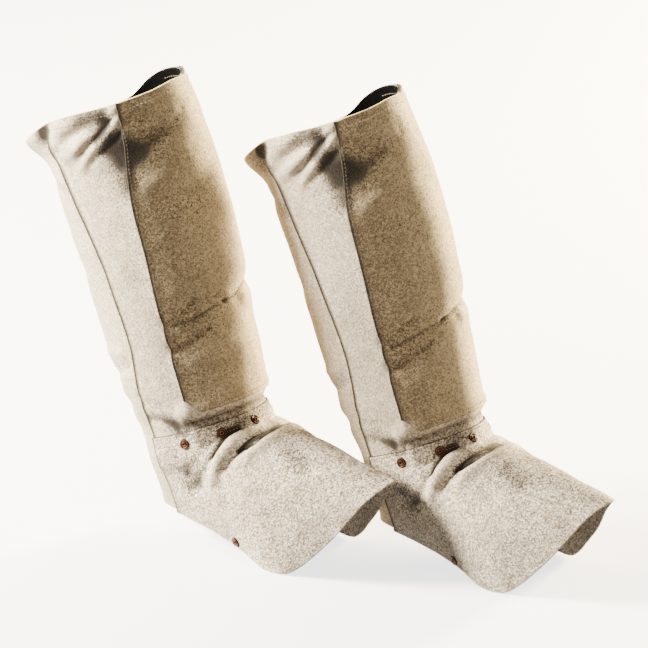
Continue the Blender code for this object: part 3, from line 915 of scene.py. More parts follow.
@dataclass
class Sheet:
    """A sheet of cloth between two grids of places, with rounded cut edges."""

    name: str
    inner: np.ndarray
    outer: np.ndarray
    hollow: np.ndarray
    ridge_share: np.ndarray
    edges: tuple = (EdgeTone.PLAIN,) * 4
    # A band of painted shadow along a dark last edge: how dark each of the last columns is.
    edge_line: tuple = (0.4, 1.0, 1.0)
    edge_bleed: float = 0.25
    rim_turns_pale: tuple = (0.28, 0.08)
    support: float = 0.16
    edge_turns: tuple = (22.5, 45.0, 67.5, 90.0, 112.5, 135.0, 157.5)
    edge_bulge: float = 0.42

    def build(self, material: bpy.types.Material) -> bpy.types.Object:
        """Make the piece.

        Args:
            material: The finish.

        Returns:
            The new object, linked to the scene.
        """
        self._add_support()
        rows, columns = self.outer.shape[:2]
        loop, pushes, tones = self._boundary()
        rings = self._rings(loop, pushes)
        points = np.concatenate((self.outer.reshape(-1, 3), self.inner.reshape(-1, 3), *rings))
        faces = self._faces(rows, columns, loop)
        mesh = bpy.data.meshes.new(self.name)
        mesh.from_pydata(world(points).tolist(), [], faces)
        for label, values in (("hollow", self.hollow), ("ridge_share", self.ridge_share)):
            write_values(mesh, label, self._all_round(values.reshape(-1), loop))
        # Pale edges are the raw leather; dark edges are painted shadow where one sheet laps over another.
        for number, label in enumerate(("pale_edge", "painted_shadow")):
            ring = np.array([tone.value[number] for tone in tones])
            if self.edges[0] is EdgeTone.RIM:
                pale = self._rim_share()[:-1]
                ring[: columns - 1] *= pale if number == 0 else 1 - pale
            values = np.zeros((rows, columns))
            if self.edges[1].value[number]:
                values[:, -len(self.edge_line):] = self.edge_line
            values = np.append(values.reshape(-1), np.zeros(rows * columns))
            values[loop] = np.maximum(values[loop], self.edge_bleed * ring)
            write_values(mesh, label, np.concatenate((values, np.tile(ring, len(rings)))))
        self._unwrap(mesh, loop)
        mesh.materials.append(material)
        mesh.shade_smooth()
        mesh.validate()
        return new_object(self.name, mesh)

    def _rim_share(self) -> np.ndarray:
        """Share out the paleness of the top edge: pale in front and on the right, dark on the left.

        Returns:
            How pale the edge is at each column, from 0 to 1.
        """
        side = self.outer[0, :, 1]
        first, span = self.rim_turns_pale
        return ease(((side - side.min()) / np.ptp(side) - first) / span)

    def _all_round(self, values: np.ndarray, loop: np.ndarray) -> np.ndarray:
        """Values for the outer face, the inner face and the rings of the edge.

        Args:
            values: A value or a row of values for each place of one face.
            loop: The outline's indices.

        Returns:
            The values of all the mesh's points.
        """
        return np.concatenate((values, values, *[values[loop]] * len(self.edge_turns)))

    def flat_size(self) -> tuple[float, float, float]:
        """What the sheet measures laid flat.

        Returns:
            Its width, length and area.
        """
        middle = (self.inner + self.outer) / 2
        across = np.linalg.norm(np.diff(middle, axis=1), axis=-1)
        along = np.linalg.norm(np.diff(middle, axis=0), axis=-1)
        first = np.cross(middle[1:, :-1] - middle[:-1, :-1], middle[:-1, 1:] - middle[:-1, :-1])
        second = np.cross(middle[1:, :-1] - middle[1:, 1:], middle[:-1, 1:] - middle[1:, 1:])
        area = (np.linalg.norm(first, axis=-1) + np.linalg.norm(second, axis=-1)).sum() / 2
        return across.sum(axis=1).max(), along.sum(axis=0).max(), area

    def _add_support(self) -> None:
        """Put a row and a column just inside each edge, so that the flat part shades evenly."""
        for label in ("inner", "outer", "hollow", "ridge_share"):
            values = getattr(self, label)
            for _ in range(2):
                second = values[0] * (1 - self.support) + values[1] * self.support
                last = values[-1] * (1 - self.support) + values[-2] * self.support
                values = np.concatenate((values[:1], second[None], values[1:-1], last[None], values[-1:]))
                values = values.swapaxes(0, 1)
            setattr(self, label, values)

    def _boundary(self) -> tuple[np.ndarray, np.ndarray, list]:
        """The sheet's outline.

        Returns:
            The indices round it, the way out of the sheet at each, and each one's edge tone.
        """
        rows, columns = self.outer.shape[:2]
        index = np.arange(rows * columns).reshape(rows, columns)
        loop = np.concatenate((index[0, :-1], index[:-1, -1], index[-1, :0:-1], index[:0:-1, 0]))
        counts = (columns - 1, rows - 1, columns - 1, rows - 1)
        tones = [tone for tone, number in zip(self.edges, counts) for _ in range(number)]
        middle = (self.inner + self.outer) / 2
        out = np.zeros_like(middle)
        for target, beside in ((0, 1), (-1, -2)):
            step = middle[target] - middle[beside]
            out[target] += step / np.linalg.norm(step, axis=-1, keepdims=True)
            step = middle[:, target] - middle[:, beside]
            out[:, target] += step / np.linalg.norm(step, axis=-1, keepdims=True)
        out = out.reshape(-1, 3)[loop]
        return loop, out / np.linalg.norm(out, axis=-1, keepdims=True), tones

    def _rings(self, loop: np.ndarray, pushes: np.ndarray) -> list[np.ndarray]:
        """The rings of places that round the cut edge, from the outer face to the inner.

        Args:
            loop: The outline's indices.
            pushes: The way out of the sheet at each.

        Returns:
            One row of places a ring.
        """
        outer = self.outer.reshape(-1, 3)[loop]
        inner = self.inner.reshape(-1, 3)[loop]
        centre, half = (outer + inner) / 2, (outer - inner) / 2
        reach = np.linalg.norm(half, axis=-1, keepdims=True) * 2 * self.edge_bulge
        return [
            centre + half * math.cos(math.radians(turn)) + pushes * reach * math.sin(math.radians(turn))
            for turn in self.edge_turns
        ]

    def _faces(self, rows: int, columns: int, loop: np.ndarray) -> list:
        """The faces of both sides and of the edge between them, all facing out.

        Args:
            rows: Rows of places.
            columns: Columns of places.
            loop: The outline's indices.

        Returns:
            Four indices a face.
        """
        count = rows * columns
        index = np.arange(count).reshape(rows, columns)
        outer = np.stack((index[:-1, :-1], index[:-1, 1:], index[1:, 1:], index[1:, :-1]), axis=-1)
        outer = outer.reshape(-1, 4)
        inner = outer[:, ::-1] + count
        steps = [loop]
        for ring in range(len(self.edge_turns)):
            steps.append(2 * count + ring * len(loop) + np.arange(len(loop)))
        steps.append(loop + count)
        strips = [
            np.stack((np.roll(high, -1), high, low, np.roll(low, -1)), axis=-1)
            for high, low in zip(steps, steps[1:])
        ]
        return np.concatenate((outer, inner, *strips)).tolist()

    def _unwrap(self, mesh: bpy.types.Mesh, loop: np.ndarray) -> None:
        """Give the mesh a UV map in metres across and along the cloth.

        Args:
            mesh: The sheet's mesh.
            loop: The outline's indices.
        """
        across = np.linalg.norm(np.diff(self.outer, axis=1), axis=-1).mean(axis=0)
        along = np.linalg.norm(np.diff(self.outer, axis=0), axis=-1).mean(axis=1)
        u, v = np.meshgrid(np.append(0.0, np.cumsum(across)), np.append(0.0, np.cumsum(along)))
        points = self._all_round(np.stack((u, v), axis=-1).reshape(-1, 2), loop)
        corners = np.empty(len(mesh.loops), np.int32)
        mesh.loops.foreach_get("vertex_index", corners)
        layer = mesh.uv_layers.new(name="cloth")
        layer.data.foreach_set("uv", points[corners].astype(np.float32).reshape(-1))


Colour = tuple[float, float, float]


@dataclass
class Wiring:
    """Short ways to add and link nodes in one tree."""

    tree: bpy.types.NodeTree

    def add(self, kind: str, inputs: dict | None = None, **settings: object) -> bpy.types.Node:
        """Add a node.

        Args:
            kind: The node's type.
            inputs: What its inputs are fed with, by name or number.
            settings: Its properties.

        Returns:
            The new node.
        """
        node = self.tree.nodes.new(kind)
        for name, value in settings.items():
            setattr(node, name, value)
        self.feed_all(node, inputs or {})
        return node

    def feed_all(self, node: bpy.types.Node, inputs: dict) -> None:
        """Feed a node's inputs, by name or number."""
        for name, value in inputs.items():
            self.feed(node.inputs[name], value)

    def feed(self, socket: bpy.types.NodeSocket, value: object) -> None:
        """Link an output to a socket, or set the socket's own value.

        Args:
            socket: The input.
            value: An output socket, a number, a colour or a vector.
        """
        if isinstance(value, bpy.types.NodeSocket):
            self.tree.links.new(value, socket)
        elif isinstance(value, tuple) and socket.type == "RGBA":
            socket.default_value = (*value, 1.0)
        else:
            socket.default_value = value

    def maths(self, operation: str, first: object, second: object = 0.0) -> bpy.types.NodeSocket:
        """Work out one number from two.

        Args:
            operation: The Math node's operation.
            first: A number or an output.
            second: A number or an output.

        Returns:
            The result's socket.
        """
        return self.add("ShaderNodeMath", {0: first, 1: second}, operation=operation).outputs[0]

    def mix(self, share: object, low: object, high: object) -> bpy.types.NodeSocket:
        """Mix two colours.

        Args:
            share: How much of the second colour.
            low: The first colour.
            high: The second colour.

        Returns:
            The result's socket.
        """
        return self.add("ShaderNodeMix", {0: share, 6: low, 7: high}, data_type="RGBA").outputs[2]

    def stretch(self, value: object, low: float, high: float) -> bpy.types.NodeSocket:
        """Map a range onto 0 to 1.

        Args:
            value: The number to map.
            low: What becomes 0.
            high: What becomes 1.

        Returns:
            The result's socket.
        """
        inputs = {"Value": value, "From Min": low, "From Max": high}
        return self.add("ShaderNodeMapRange", inputs).outputs["Result"]

    def noise(self, where: object, scale: object, detail: float,
              rough: float = 0.6) -> bpy.types.NodeSocket:
        """Add a noise texture.

        Args:
            where: The coordinates.
            scale: Its lumps a metre.
            detail: Its octaves.
            rough: How strong the finer octaves are.

        Returns:
            Its value's socket.
        """
        inputs = {"Vector": where, "Scale": scale, "Detail": detail, "Roughness": rough}
        return self.add("ShaderNodeTexNoise", inputs).outputs[0]

    def cells(self, where: object, scale: object) -> bpy.types.Node:
        """Add a Voronoi texture of some cells a metre."""
        return self.add("ShaderNodeTexVoronoi", {"Vector": where, "Scale": scale})

    def attribute(self, name: str) -> bpy.types.NodeSocket:
        """Read one of the mesh's own values."""
        return self.add("ShaderNodeAttribute", attribute_name=name).outputs["Fac"]

    def in_space(self) -> bpy.types.NodeSocket:
        """The object's own coordinates."""
        return self.add("ShaderNodeTexCoord").outputs["Object"]

    def on_cloth(self) -> bpy.types.NodeSocket:
        """The sheet's own map, in metres."""
        return self.add("ShaderNodeUVMap", uv_map="cloth").outputs["UV"]

    def bump(self, height: object, distance: float) -> bpy.types.NodeSocket:
        """Raise a surface by a height of 0 to 1 times a distance in metres."""
        return self.add("ShaderNodeBump", {"Distance": distance, "Height": height}).outputs["Normal"]

    def square_to_cloth(self) -> bpy.types.NodeSocket:
        """Turn an instance so that its Z lies along the outward way of its point.

        Returns:
            The turn.
        """
        outward = self.add("GeometryNodeInputNamedAttribute", {"Name": "outward"}, data_type="FLOAT_VECTOR")
        return self.add(
            "FunctionNodeAlignRotationToVector", {"Vector": outward.outputs["Attribute"]},
            axis="Z", pivot_axis="AUTO",
        ).outputs["Rotation"]

    def send_out(self, placed: bpy.types.Node, material: object) -> None:
        """Make instances real, dress them and end a geometry tree with them.

        Args:
            placed: The node that places the instances.
            material: Their material.
        """
        real = self.add("GeometryNodeRealizeInstances", {"Geometry": placed.outputs["Instances"]})
        inputs = {"Geometry": real.outputs["Geometry"], "Material": material}
        dressed = self.add("GeometryNodeSetMaterial", inputs)
        self.add("NodeGroupOutput", {"Geometry": dressed.outputs["Geometry"]})


def new_group(name: str, kind: str, inputs: dict, outputs: dict) -> tuple[bpy.types.NodeTree, dict]:
    """Start a node group.

    Args:
        name: The group's name.
        kind: The tree's type.
        inputs: The names of its inputs, by their kind.
        outputs: The names of its outputs, by their kind.

    Returns:
        The tree, and the identifier of each input by name.
    """
    tree = bpy.data.node_groups.new(name, kind)
    identifiers = {"INPUT": {}, "OUTPUT": {}}
    for way, sockets in (("INPUT", inputs), ("OUTPUT", outputs)):
        for socket_kind, labels in sockets.items():
            for label in labels:
                made = tree.interface.new_socket(label, in_out=way, socket_type=f"NodeSocket{socket_kind}")
                identifiers[way][label] = made.identifier
    return tree, identifiers["INPUT"]


@dataclass(frozen=True)
class Finish:
    """The look of a surface, which becomes one material."""

    name: str

    def build(self) -> bpy.types.Material:
        """Make the material.

        Returns:
            The material.
        """
        made = bpy.data.materials.new(self.name)
        made.use_nodes = True
        wiring = Wiring(made.node_tree)
        wiring.feed_all(made.node_tree.nodes["Principled BSDF"], self.look(wiring))
        return made


def suede_group() -> bpy.types.NodeTree:
    """The nap of split suede: grain, fibres, blotches, painted shade in hollows, lighter ridges, painted
    light where asked, cut edges and painted shadow along dark edges.

    Returns:
        The node group, with Color, Roughness and Height out.
    """
    colours = ("Nap", "Glint", "Shade", "Painted hollow shade", "Pale edge", "Painted shadow")
    tree, _ = new_group("suede_nap", "ShaderNodeTree", {
        "Color": colours, "Float": ("Grain", "Mottle", "Painted shade strength", "Painted light"),
    }, {"Color": ("Color",), "Float": ("Roughness", "Height")})
    wiring = Wiring(tree)
    given = wiring.add("NodeGroupInput").outputs
    where = wiring.in_space()
    cells = wiring.cells(where, given["Grain"])
    tuft = wiring.add("ShaderNodeSeparateColor", {"Color": cells.outputs["Color"]})
    fibre = wiring.stretch(wiring.noise(where, 380.0, 3.0, 0.7), 0.33, 0.67)
    blotch = wiring.noise(where, 46.0, 3.0, 0.55)
    patch = wiring.noise(where, 13.0, 2.0, 0.5)
    nap = wiring.maths("MULTIPLY", tuft.outputs["Red"], 0.75)
    nap = wiring.maths("ADD", nap, wiring.maths("MULTIPLY", fibre, 0.25))
    glint = wiring.maths("MULTIPLY", wiring.stretch(nap, 0.55, 0.85), given["Mottle"])
    nap = wiring.stretch(nap, 0.10, 0.60)
    # The hollow share carries painted shade: the dips of the folds and the painted shade marks; dark flecks
    # thicken there too.
    hollow = wiring.maths("MULTIPLY", wiring.attribute("hollow"), given["Painted shade strength"])
    # Painted light: the pale colour also spreads across a sheet where the painted light share asks for it.
    glint = wiring.maths("MAXIMUM", glint, given["Painted light"])
    specks = wiring.maths("MULTIPLY", wiring.maths("SUBTRACT", 1.0, nap), given["Mottle"])
    specks = wiring.maths("MULTIPLY", specks, wiring.maths("ADD", 1.0, hollow))
    cloth = wiring.mix(glint, given["Nap"], given["Glint"])
    cloth = wiring.mix(specks, cloth, given["Shade"])
    blotched = wiring.maths("MULTIPLY", wiring.stretch(blotch, 0.42, 0.75), 0.30)
    cloth = wiring.mix(blotched, cloth, given["Shade"])
    patched = wiring.maths("MULTIPLY", wiring.stretch(patch, 0.40, 0.80), 0.22)
    cloth = wiring.mix(patched, cloth, given["Shade"])
    # Painted shade: the nap darkens towards a near-black brown in the hollows, less on pale flecks.
    painted_shade_share = wiring.maths("MULTIPLY", hollow, 1.20)
    painted_shade_share = wiring.maths("SUBTRACT", painted_shade_share, wiring.maths("MULTIPLY", nap, 0.40))
    painted_shade_share = wiring.maths("MULTIPLY", wiring.stretch(painted_shade_share, 0.0, 1.15), 0.92)
    cloth = wiring.mix(painted_shade_share, cloth, given["Painted hollow shade"])
    # Lighter on the ridges, towards the plain nap colour.
    ridge_lightening = wiring.maths("MULTIPLY", wiring.attribute("ridge_share"), 0.35)
    cloth = wiring.mix(ridge_lightening, cloth, given["Nap"])
    # Painted shadow: near black in the deepest hollows, behind the lip and beside the ridge.
    deep = wiring.stretch(wiring.attribute("hollow"), 1.15, 1.75)
    cloth = wiring.mix(deep, cloth, given["Painted shadow"])
    cloth = wiring.mix(wiring.attribute("pale_edge"), cloth, given["Pale edge"])
    cloth = wiring.mix(wiring.attribute("painted_shadow"), cloth, given["Painted shadow"])
    height = wiring.maths("ADD", nap, wiring.maths("MULTIPLY", blotch, 0.6))
    rough = wiring.maths("SUBTRACT", 0.97, wiring.maths("MULTIPLY", nap, 0.12))
    wiring.add("NodeGroupOutput", {"Color": cloth, "Roughness": rough, "Height": height})
    return tree


@dataclass(frozen=True)
class SuedeFinish(Finish):
    """Split suede with a raised nap."""

    group: bpy.types.NodeTree
    nap: Colour = (0.60, 0.51, 0.385)
    glint: Colour = (0.86, 0.80, 0.70)
    shade: Colour = (0.20, 0.155, 0.115)
    painted_hollow_shade: Colour = (0.040, 0.029, 0.022)
    pale_edge: Colour = (0.85, 0.74, 0.34)
    painted_shadow: Colour = (0.010, 0.007, 0.006)
    grain: float = 860.0
    mottle: float = 0.62
    painted_shade_strength: float = 0.95
    relief: float = 0.0008
    specular: float = 0.15
    sheen: float = 0.18
    sheen_roughness: float = 0.5
    sheen_tint: Colour = (1.0, 0.86, 0.62)
    painted_light_from: float = 0.0
    painted_light_to: float = 0.0

    def look(self, wiring: Wiring) -> dict:
        """Wire the look.

        Args:
            wiring: The material's wiring.

        Returns:
            What feeds the shader, by input.
        """
        nap = wiring.add("ShaderNodeGroup", node_tree=self.group)
        wiring.feed_all(nap, {
            "Nap": self.nap, "Glint": self.glint, "Shade": self.shade, "Painted hollow shade": self.painted_hollow_shade,
            "Pale edge": self.pale_edge, "Painted shadow": self.painted_shadow,
            "Grain": self.grain, "Mottle": self.mottle, "Painted shade strength": self.painted_shade_strength,
        })
        # Painted light: paler towards one side of the sheet's own map.
        if self.painted_light_from:
            across = wiring.add("ShaderNodeSeparateXYZ", {0: wiring.on_cloth()})
            share = wiring.stretch(across.outputs["X"], self.painted_light_from, self.painted_light_to)
            wiring.feed(nap.inputs["Painted light"], share)
        return {
            "Base Color": nap.outputs["Color"],
            "Roughness": nap.outputs["Roughness"],
            "Normal": wiring.bump(nap.outputs["Height"], self.relief),
            "Specular IOR Level": self.specular,
            "Sheen Weight": self.sheen,
            "Sheen Roughness": self.sheen_roughness,
            "Sheen Tint": self.sheen_tint,
        }


@dataclass(frozen=True)
class WovenFinish(Finish):
    """A plain woven cloth, whose threads run along the sheet's own map."""

    # Darker than black cloth: partly the facing's own black, partly painted shade inside the top.
    thread: Colour = (0.0010, 0.0010, 0.0011)
    gap: Colour = (0.0003, 0.0003, 0.0003)
    thread_pitch: float = 0.0009
    relief: float = 0.0002
    specular: float = 0.02

    def look(self, wiring: Wiring) -> dict:
        """Wire the look.

        Args:
            wiring: The material's wiring.

        Returns:
            What feeds the shader, by input.
        """
        where = wiring.on_cloth()
        across = wiring.add("ShaderNodeSeparateXYZ", {0: where})
        turn = math.tau / self.thread_pitch
        waves = [
            wiring.maths("SINE", wiring.maths("MULTIPLY", across.outputs[axis], turn))
            for axis in ("X", "Y")
        ]
        weave = wiring.stretch(wiring.maths("MULTIPLY", *waves), -1.0, 1.0)
        fuzz = wiring.noise(where, 260.0, 3.0)
        weave = wiring.maths("ADD", weave, wiring.maths("MULTIPLY", fuzz, 0.5))
        return {
            "Base Color": wiring.mix(wiring.stretch(weave, 0.2, 1.2), self.gap, self.thread),
            "Roughness": wiring.stretch(fuzz, -1.2, 0.8),
            "Normal": wiring.bump(weave, self.relief),
            "Specular IOR Level": self.specular,
        }


@dataclass(frozen=True)
class TapeFinish(Finish):
    """Hook-and-loop tape, a mat of small loops."""

    loops: Colour = (0.020, 0.019, 0.020)
    base: Colour = (0.005, 0.005, 0.005)
    loops_a_metre: float = 900.0
    relief: float = 0.0005
    roughness: float = 0.9

    def look(self, wiring: Wiring) -> dict:
        """Wire the look.

        Args:
            wiring: The material's wiring.

        Returns:
            What feeds the shader, by input.
        """
        cells = wiring.cells(wiring.on_cloth(), self.loops_a_metre)
        far = wiring.stretch(cells.outputs["Distance"], 0.1, 0.7)
        return {
            "Base Color": wiring.mix(far, self.base, self.loops),
            "Roughness": self.roughness,
            "Normal": wiring.bump(far, self.relief),
        }


@dataclass(frozen=True)
class ThreadFinish(Finish):
    """Twisted sewing thread."""

    light: Colour
    dark: Colour
    twists_a_metre: float = 2600.0
    relief: float = 0.0002
    roughness: float = 0.7

    def look(self, wiring: Wiring) -> dict:
        """Wire the look.

        Args:
            wiring: The material's wiring.

        Returns:
            What feeds the shader, by input.
        """
        twist = wiring.stretch(wiring.noise(wiring.in_space(), self.twists_a_metre, 1.0), 0.35, 0.65)
        return {
            "Base Color": wiring.mix(twist, self.dark, self.light),
            "Roughness": self.roughness,
            "Normal": wiring.bump(twist, self.relief),
        }


@dataclass(frozen=True)
class CopperFinish(Finish):
    """Dulled copper, darker in its grooves."""

    bright: Colour = (0.090, 0.040, 0.024)
    dull: Colour = (0.024, 0.011, 0.007)
    groove: Colour = (0.002, 0.0012, 0.001)
    spots_a_metre: float = 900.0
    relief: float = 0.00008

    def look(self, wiring: Wiring) -> dict:
        """Wire the look.

        Args:
            wiring: The material's wiring.

        Returns:
            What feeds the shader, by input.
        """
        worn = wiring.stretch(wiring.noise(wiring.in_space(), self.spots_a_metre, 3.0), 0.35, 0.65)
        metal = wiring.mix(wiring.maths("MULTIPLY", worn, 0.7), self.bright, self.dull)
        return {
            "Base Color": wiring.mix(wiring.attribute("recess"), metal, self.groove),
            "Roughness": wiring.maths("ADD", 0.28, wiring.maths("MULTIPLY", worn, 0.25)),
            "Normal": wiring.bump(worn, self.relief),
            "Metallic": 1.0,
        }


@dataclass(frozen=True)
class FloorFinish(Finish):
    """A plain pale floor, which glows a little so that shadows on it stay soft."""

    colour: Colour = (0.80, 0.80, 0.81)
    glow: float = 3.2
    roughness: float = 0.9

    def look(self, wiring: Wiring) -> dict:
        """Wire the look.

        Args:
            wiring: The material's wiring.

        Returns:
            What feeds the shader, by input.
        """
        return {
            "Base Color": self.colour, "Emission Color": self.colour,
            "Emission Strength": self.glow, "Roughness": self.roughness,
        }


@dataclass
class Finishes:
    """Every finish of the pair, made once."""

    def __post_init__(self) -> None:
        """Build the materials."""
        group = suede_group()
        self.suede = SuedeFinish("suede", group).build()
        # The shin panel's darker tan nap is partly its own colour and partly painted shade; painted light
        # pales it towards its edge at -65 degrees.
        self.panel_suede = SuedeFinish(
            "shin_panel_suede", group, nap=(0.32, 0.25, 0.16), glint=(0.70, 0.56, 0.34),
            shade=(0.105, 0.075, 0.044), mottle=0.80, sheen=0.5, painted_light_from=0.145, painted_light_to=0.070,
        ).build()
        self.cover_suede = SuedeFinish(
            "foot_cover_suede", group, glint=(0.92, 0.88, 0.82), shade=(0.15, 0.115, 0.085),
            mottle=0.95, relief=0.0012,
        ).build()
        self.facing = WovenFinish("black_facing").build()
        self.tape = TapeFinish("black_tape").build()
        self.pale_thread = ThreadFinish("pale_thread", (0.78, 0.72, 0.52), (0.45, 0.39, 0.26)).build()
        # The tan thread is partly its own tan and partly painted shade of its stitch holes.
        self.shaded_tan_thread = ThreadFinish("shaded_tan_thread", (0.22, 0.17, 0.115), (0.06, 0.045, 0.030)).build()
        self.copper = CopperFinish("copper").build()


@dataclass(frozen=True)
class StitchSize:
    """How a row of stitches looks."""

    pitch: float = 0.0040
    length: float = 0.0030
    width: float = 0.0010
    height: float = 0.0008
    seed: int = 5


class ClothTree:
    """Geometry nodes that set instances on paths or points of the cloth."""

    tree: bpy.types.NodeTree
    inputs: dict

    def run(self, name: str, places: np.ndarray, normals: np.ndarray, edges: list,
            values: dict) -> bpy.types.Object:
        """Run the tree and keep its result as a plain mesh.

        Args:
            name: The piece's name.
            places: Places on the cloth.
            normals: The cloth's normal at each of them.
            edges: Pairs of places that are joined.
            values: The tree's inputs by name.

        Returns:
            The finished piece.
        """
        mesh = bpy.data.meshes.new(name)
        mesh.from_pydata(world(places).tolist(), edges, [])
        write_values(mesh, "outward", world_direction(normals), "FLOAT_VECTOR")
        made = new_object(name, mesh)
        modifier = made.modifiers.new("nodes", "NODES")
        modifier.node_group = self.tree
        for label, value in values.items():
            modifier[self.inputs[label]] = value
        graph = bpy.context.evaluated_depsgraph_get()
        made_mesh = bpy.data.meshes.new_from_object(made.evaluated_get(graph), depsgraph=graph)
        made.modifiers.clear()
        made.data = made_mesh
        made_mesh.name = name
        return made


class StitchTree(ClothTree):
    """Geometry nodes that lay one stitch after another along paths on the cloth."""

    bar_sides: int = 6
    least: tuple = (0.88, 0.86, 0.85)
    most: tuple = (1.08, 1.10, 1.15)

    def __init__(self) -> None:
        """Build the tree once."""
        self.tree, self.inputs = new_group("stitch_rows", "GeometryNodeTree", {
            "Geometry": ("Geometry",), "Float": ("Pitch", "Length", "Width", "Height"),
            "Int": ("Seed",), "Material": ("Thread",),
        }, {"Geometry": ("Geometry",)})
        wiring = Wiring(self.tree)
        given = wiring.add("NodeGroupInput").outputs
        paths = wiring.add("GeometryNodeMeshToCurve", {"Mesh": given["Geometry"]})
        inputs = {"Curve": paths.outputs["Curve"], "Length": given["Pitch"]}
        spaced = wiring.add("GeometryNodeResampleCurve", inputs, mode="LENGTH")
        tangent = wiring.add("GeometryNodeInputTangent").outputs["Tangent"]
        inputs = {"Rotation": wiring.square_to_cloth(), "Vector": tangent}
        along = wiring.add("FunctionNodeAlignRotationToVector", inputs, axis="X", pivot_axis="Z")
        inputs = {0: self.least, 1: self.most, "Seed": given["Seed"]}
        uneven = wiring.add("FunctionNodeRandomValue", inputs, data_type="FLOAT_VECTOR")
        laid = wiring.add("GeometryNodeInstanceOnPoints", {
            "Points": spaced.outputs["Curve"], "Instance": self._stitch(wiring, given),
            "Rotation": along.outputs["Rotation"], "Scale": uneven.outputs[0],
        })
        wiring.send_out(laid, given["Thread"])

    def _stitch(self, wiring: Wiring, given: object) -> bpy.types.NodeSocket:
        """One stitch as a small round-ended bar.

        Args:
            wiring: The tree's wiring.
            given: The group's inputs.

        Returns:
            The stitch's geometry.
        """
        inputs = {"Segments": self.bar_sides, "Rings": self.bar_sides, "Radius": 0.5}
        bar = wiring.add("GeometryNodeMeshUVSphere", inputs)
        inputs = {"X": given["Length"], "Y": given["Width"], "Z": given["Height"]}
        size = wiring.add("ShaderNodeCombineXYZ", inputs)
        inputs = {"Geometry": bar.outputs["Mesh"], "Scale": size.outputs[0]}
        sized = wiring.add("GeometryNodeTransform", inputs)
        inputs = {"Geometry": sized.outputs["Geometry"]}
        return wiring.add("GeometryNodeSetShadeSmooth", inputs).outputs["Geometry"]

    def sew(self, name: str, paths: list, size: StitchSize, thread: bpy.types.Material) -> bpy.types.Object:
        """Sew rows of stitches.

        Args:
            name: The piece's name.
            paths: Pairs of places and outward normals, one pair a row.
            size: The stitches' sizes.
            thread: The thread's finish.

        Returns:
            The finished piece.
        """
        places, normals = (np.concatenate(values) for values in zip(*paths))
        edges, start = [], 0
        for row, _ in paths:
            edges += [(start + step, start + step + 1) for step in range(len(row) - 1)]
            start += len(row)
        return self.run(name, places, normals, edges, {
            "Pitch": size.pitch, "Length": size.length, "Width": size.width,
            "Height": size.height, "Seed": size.seed, "Thread": thread,
        })


class ProfilePoint(NamedTuple):
    """One point of a turned profile: radius, height and how deep in a groove it is."""

    radius: float
    height: float
    recess: float


@dataclass
class RivetHead:
    """A copper rivet's washer and peened end, turned from one profile."""

    sides: int = 40
    profile: tuple = (
        ProfilePoint(0.0000, 0.0006, 1.0), ProfilePoint(0.0006, 0.0006, 1.0),
        ProfilePoint(0.0010, 0.0010, 0.9), ProfilePoint(0.0013, 0.0017, 0.2),
        ProfilePoint(0.0017, 0.0020, 0.0), ProfilePoint(0.0021, 0.0018, 0.0),
        ProfilePoint(0.0024, 0.0013, 0.5), ProfilePoint(0.0027, 0.0009, 1.0),
        ProfilePoint(0.0031, 0.0009, 0.9), ProfilePoint(0.0035, 0.0012, 0.2),
        ProfilePoint(0.0041, 0.0014, 0.1), ProfilePoint(0.0047, 0.0012, 0.7),
        ProfilePoint(0.0051, 0.0008, 0.9), ProfilePoint(0.0053, 0.0002, 1.0),
        ProfilePoint(0.0052, -0.0004, 0.9), ProfilePoint(0.0000, -0.0004, 1.0),
    )

    def build(self) -> bpy.types.Object:
        """Turn the profile.

        Returns:
            The head, standing on the origin, to be placed as an instance.
        """
        points, recess = [], []
        for point in self.profile:
            count = self.sides if point.radius > 0 else 1
            for step in range(count):
                turn = math.tau * step / self.sides
                points.append((point.radius * math.cos(turn), point.radius * math.sin(turn), point.height))
                recess.append(point.recess)
        faces = []
        rings = len(self.profile) - 2
        last = len(points) - 1
        for step in range(self.sides):
            beside = (step + 1) % self.sides
            faces.append((0, 1 + step, 1 + beside))
            for ring in range(rings - 1):
                high, low = 1 + ring * self.sides, 1 + (ring + 1) * self.sides
                faces.append((high + step, low + step, low + beside, high + beside))
            bottom = 1 + (rings - 1) * self.sides
            faces.append((bottom + step, last, bottom + beside))
        mesh = bpy.data.meshes.new("rivet_head")
        mesh.from_pydata(points, [], faces)
        write_values(mesh, "recess", recess)
        mesh.shade_smooth()
        return new_object("rivet_head", mesh)


class RivetTree(ClothTree):
    """Geometry nodes that seat a rivet head on each point, square to the cloth."""

    def __init__(self) -> None:
        """Build the tree once."""
        self.tree, self.inputs = new_group("rivets", "GeometryNodeTree", {
            "Geometry": ("Geometry",), "Object": ("Head",), "Material": ("Copper",),
        }, {"Geometry": ("Geometry",)})
        wiring = Wiring(self.tree)
        given = wiring.add("NodeGroupInput").outputs
        shape = wiring.add("GeometryNodeObjectInfo", {"Object": given["Head"]})
        seated = wiring.add("GeometryNodeInstanceOnPoints", {
            "Points": given["Geometry"], "Instance": shape.outputs["Geometry"],
            "Rotation": wiring.square_to_cloth(),
        })
        wiring.send_out(seated, given["Copper"])


@dataclass
class Workshop:
    """The finishes and the tools that both leggings are made with."""

    finishes: Finishes = field(default_factory=Finishes)
    stitches: StitchTree = field(default_factory=StitchTree)
    rivets: RivetTree = field(default_factory=RivetTree)


@dataclass
class Cut:
    """The flat cut of a sheet and how it is held."""

    flat: tuple[float, float]
    area: float
    held: str
    rests_on: tuple = ()


def place_piece(piece: bpy.types.Object, slot: str, node: str = "") -> bpy.types.Object:
    """Let a piece ride on the model and stand for a node, hiding it; its slot is only logged.

    Args:
        piece: The piece.
        slot: The record's material slot.
        node: The node that it replaces, or nothing.

    Returns:
        The piece.
    """
    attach(piece, "root")
    if node:
        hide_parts(node)
    LOG.info("%s: %d vertices, %s", piece.name, len(piece.data.vertices), slot)
    return piece


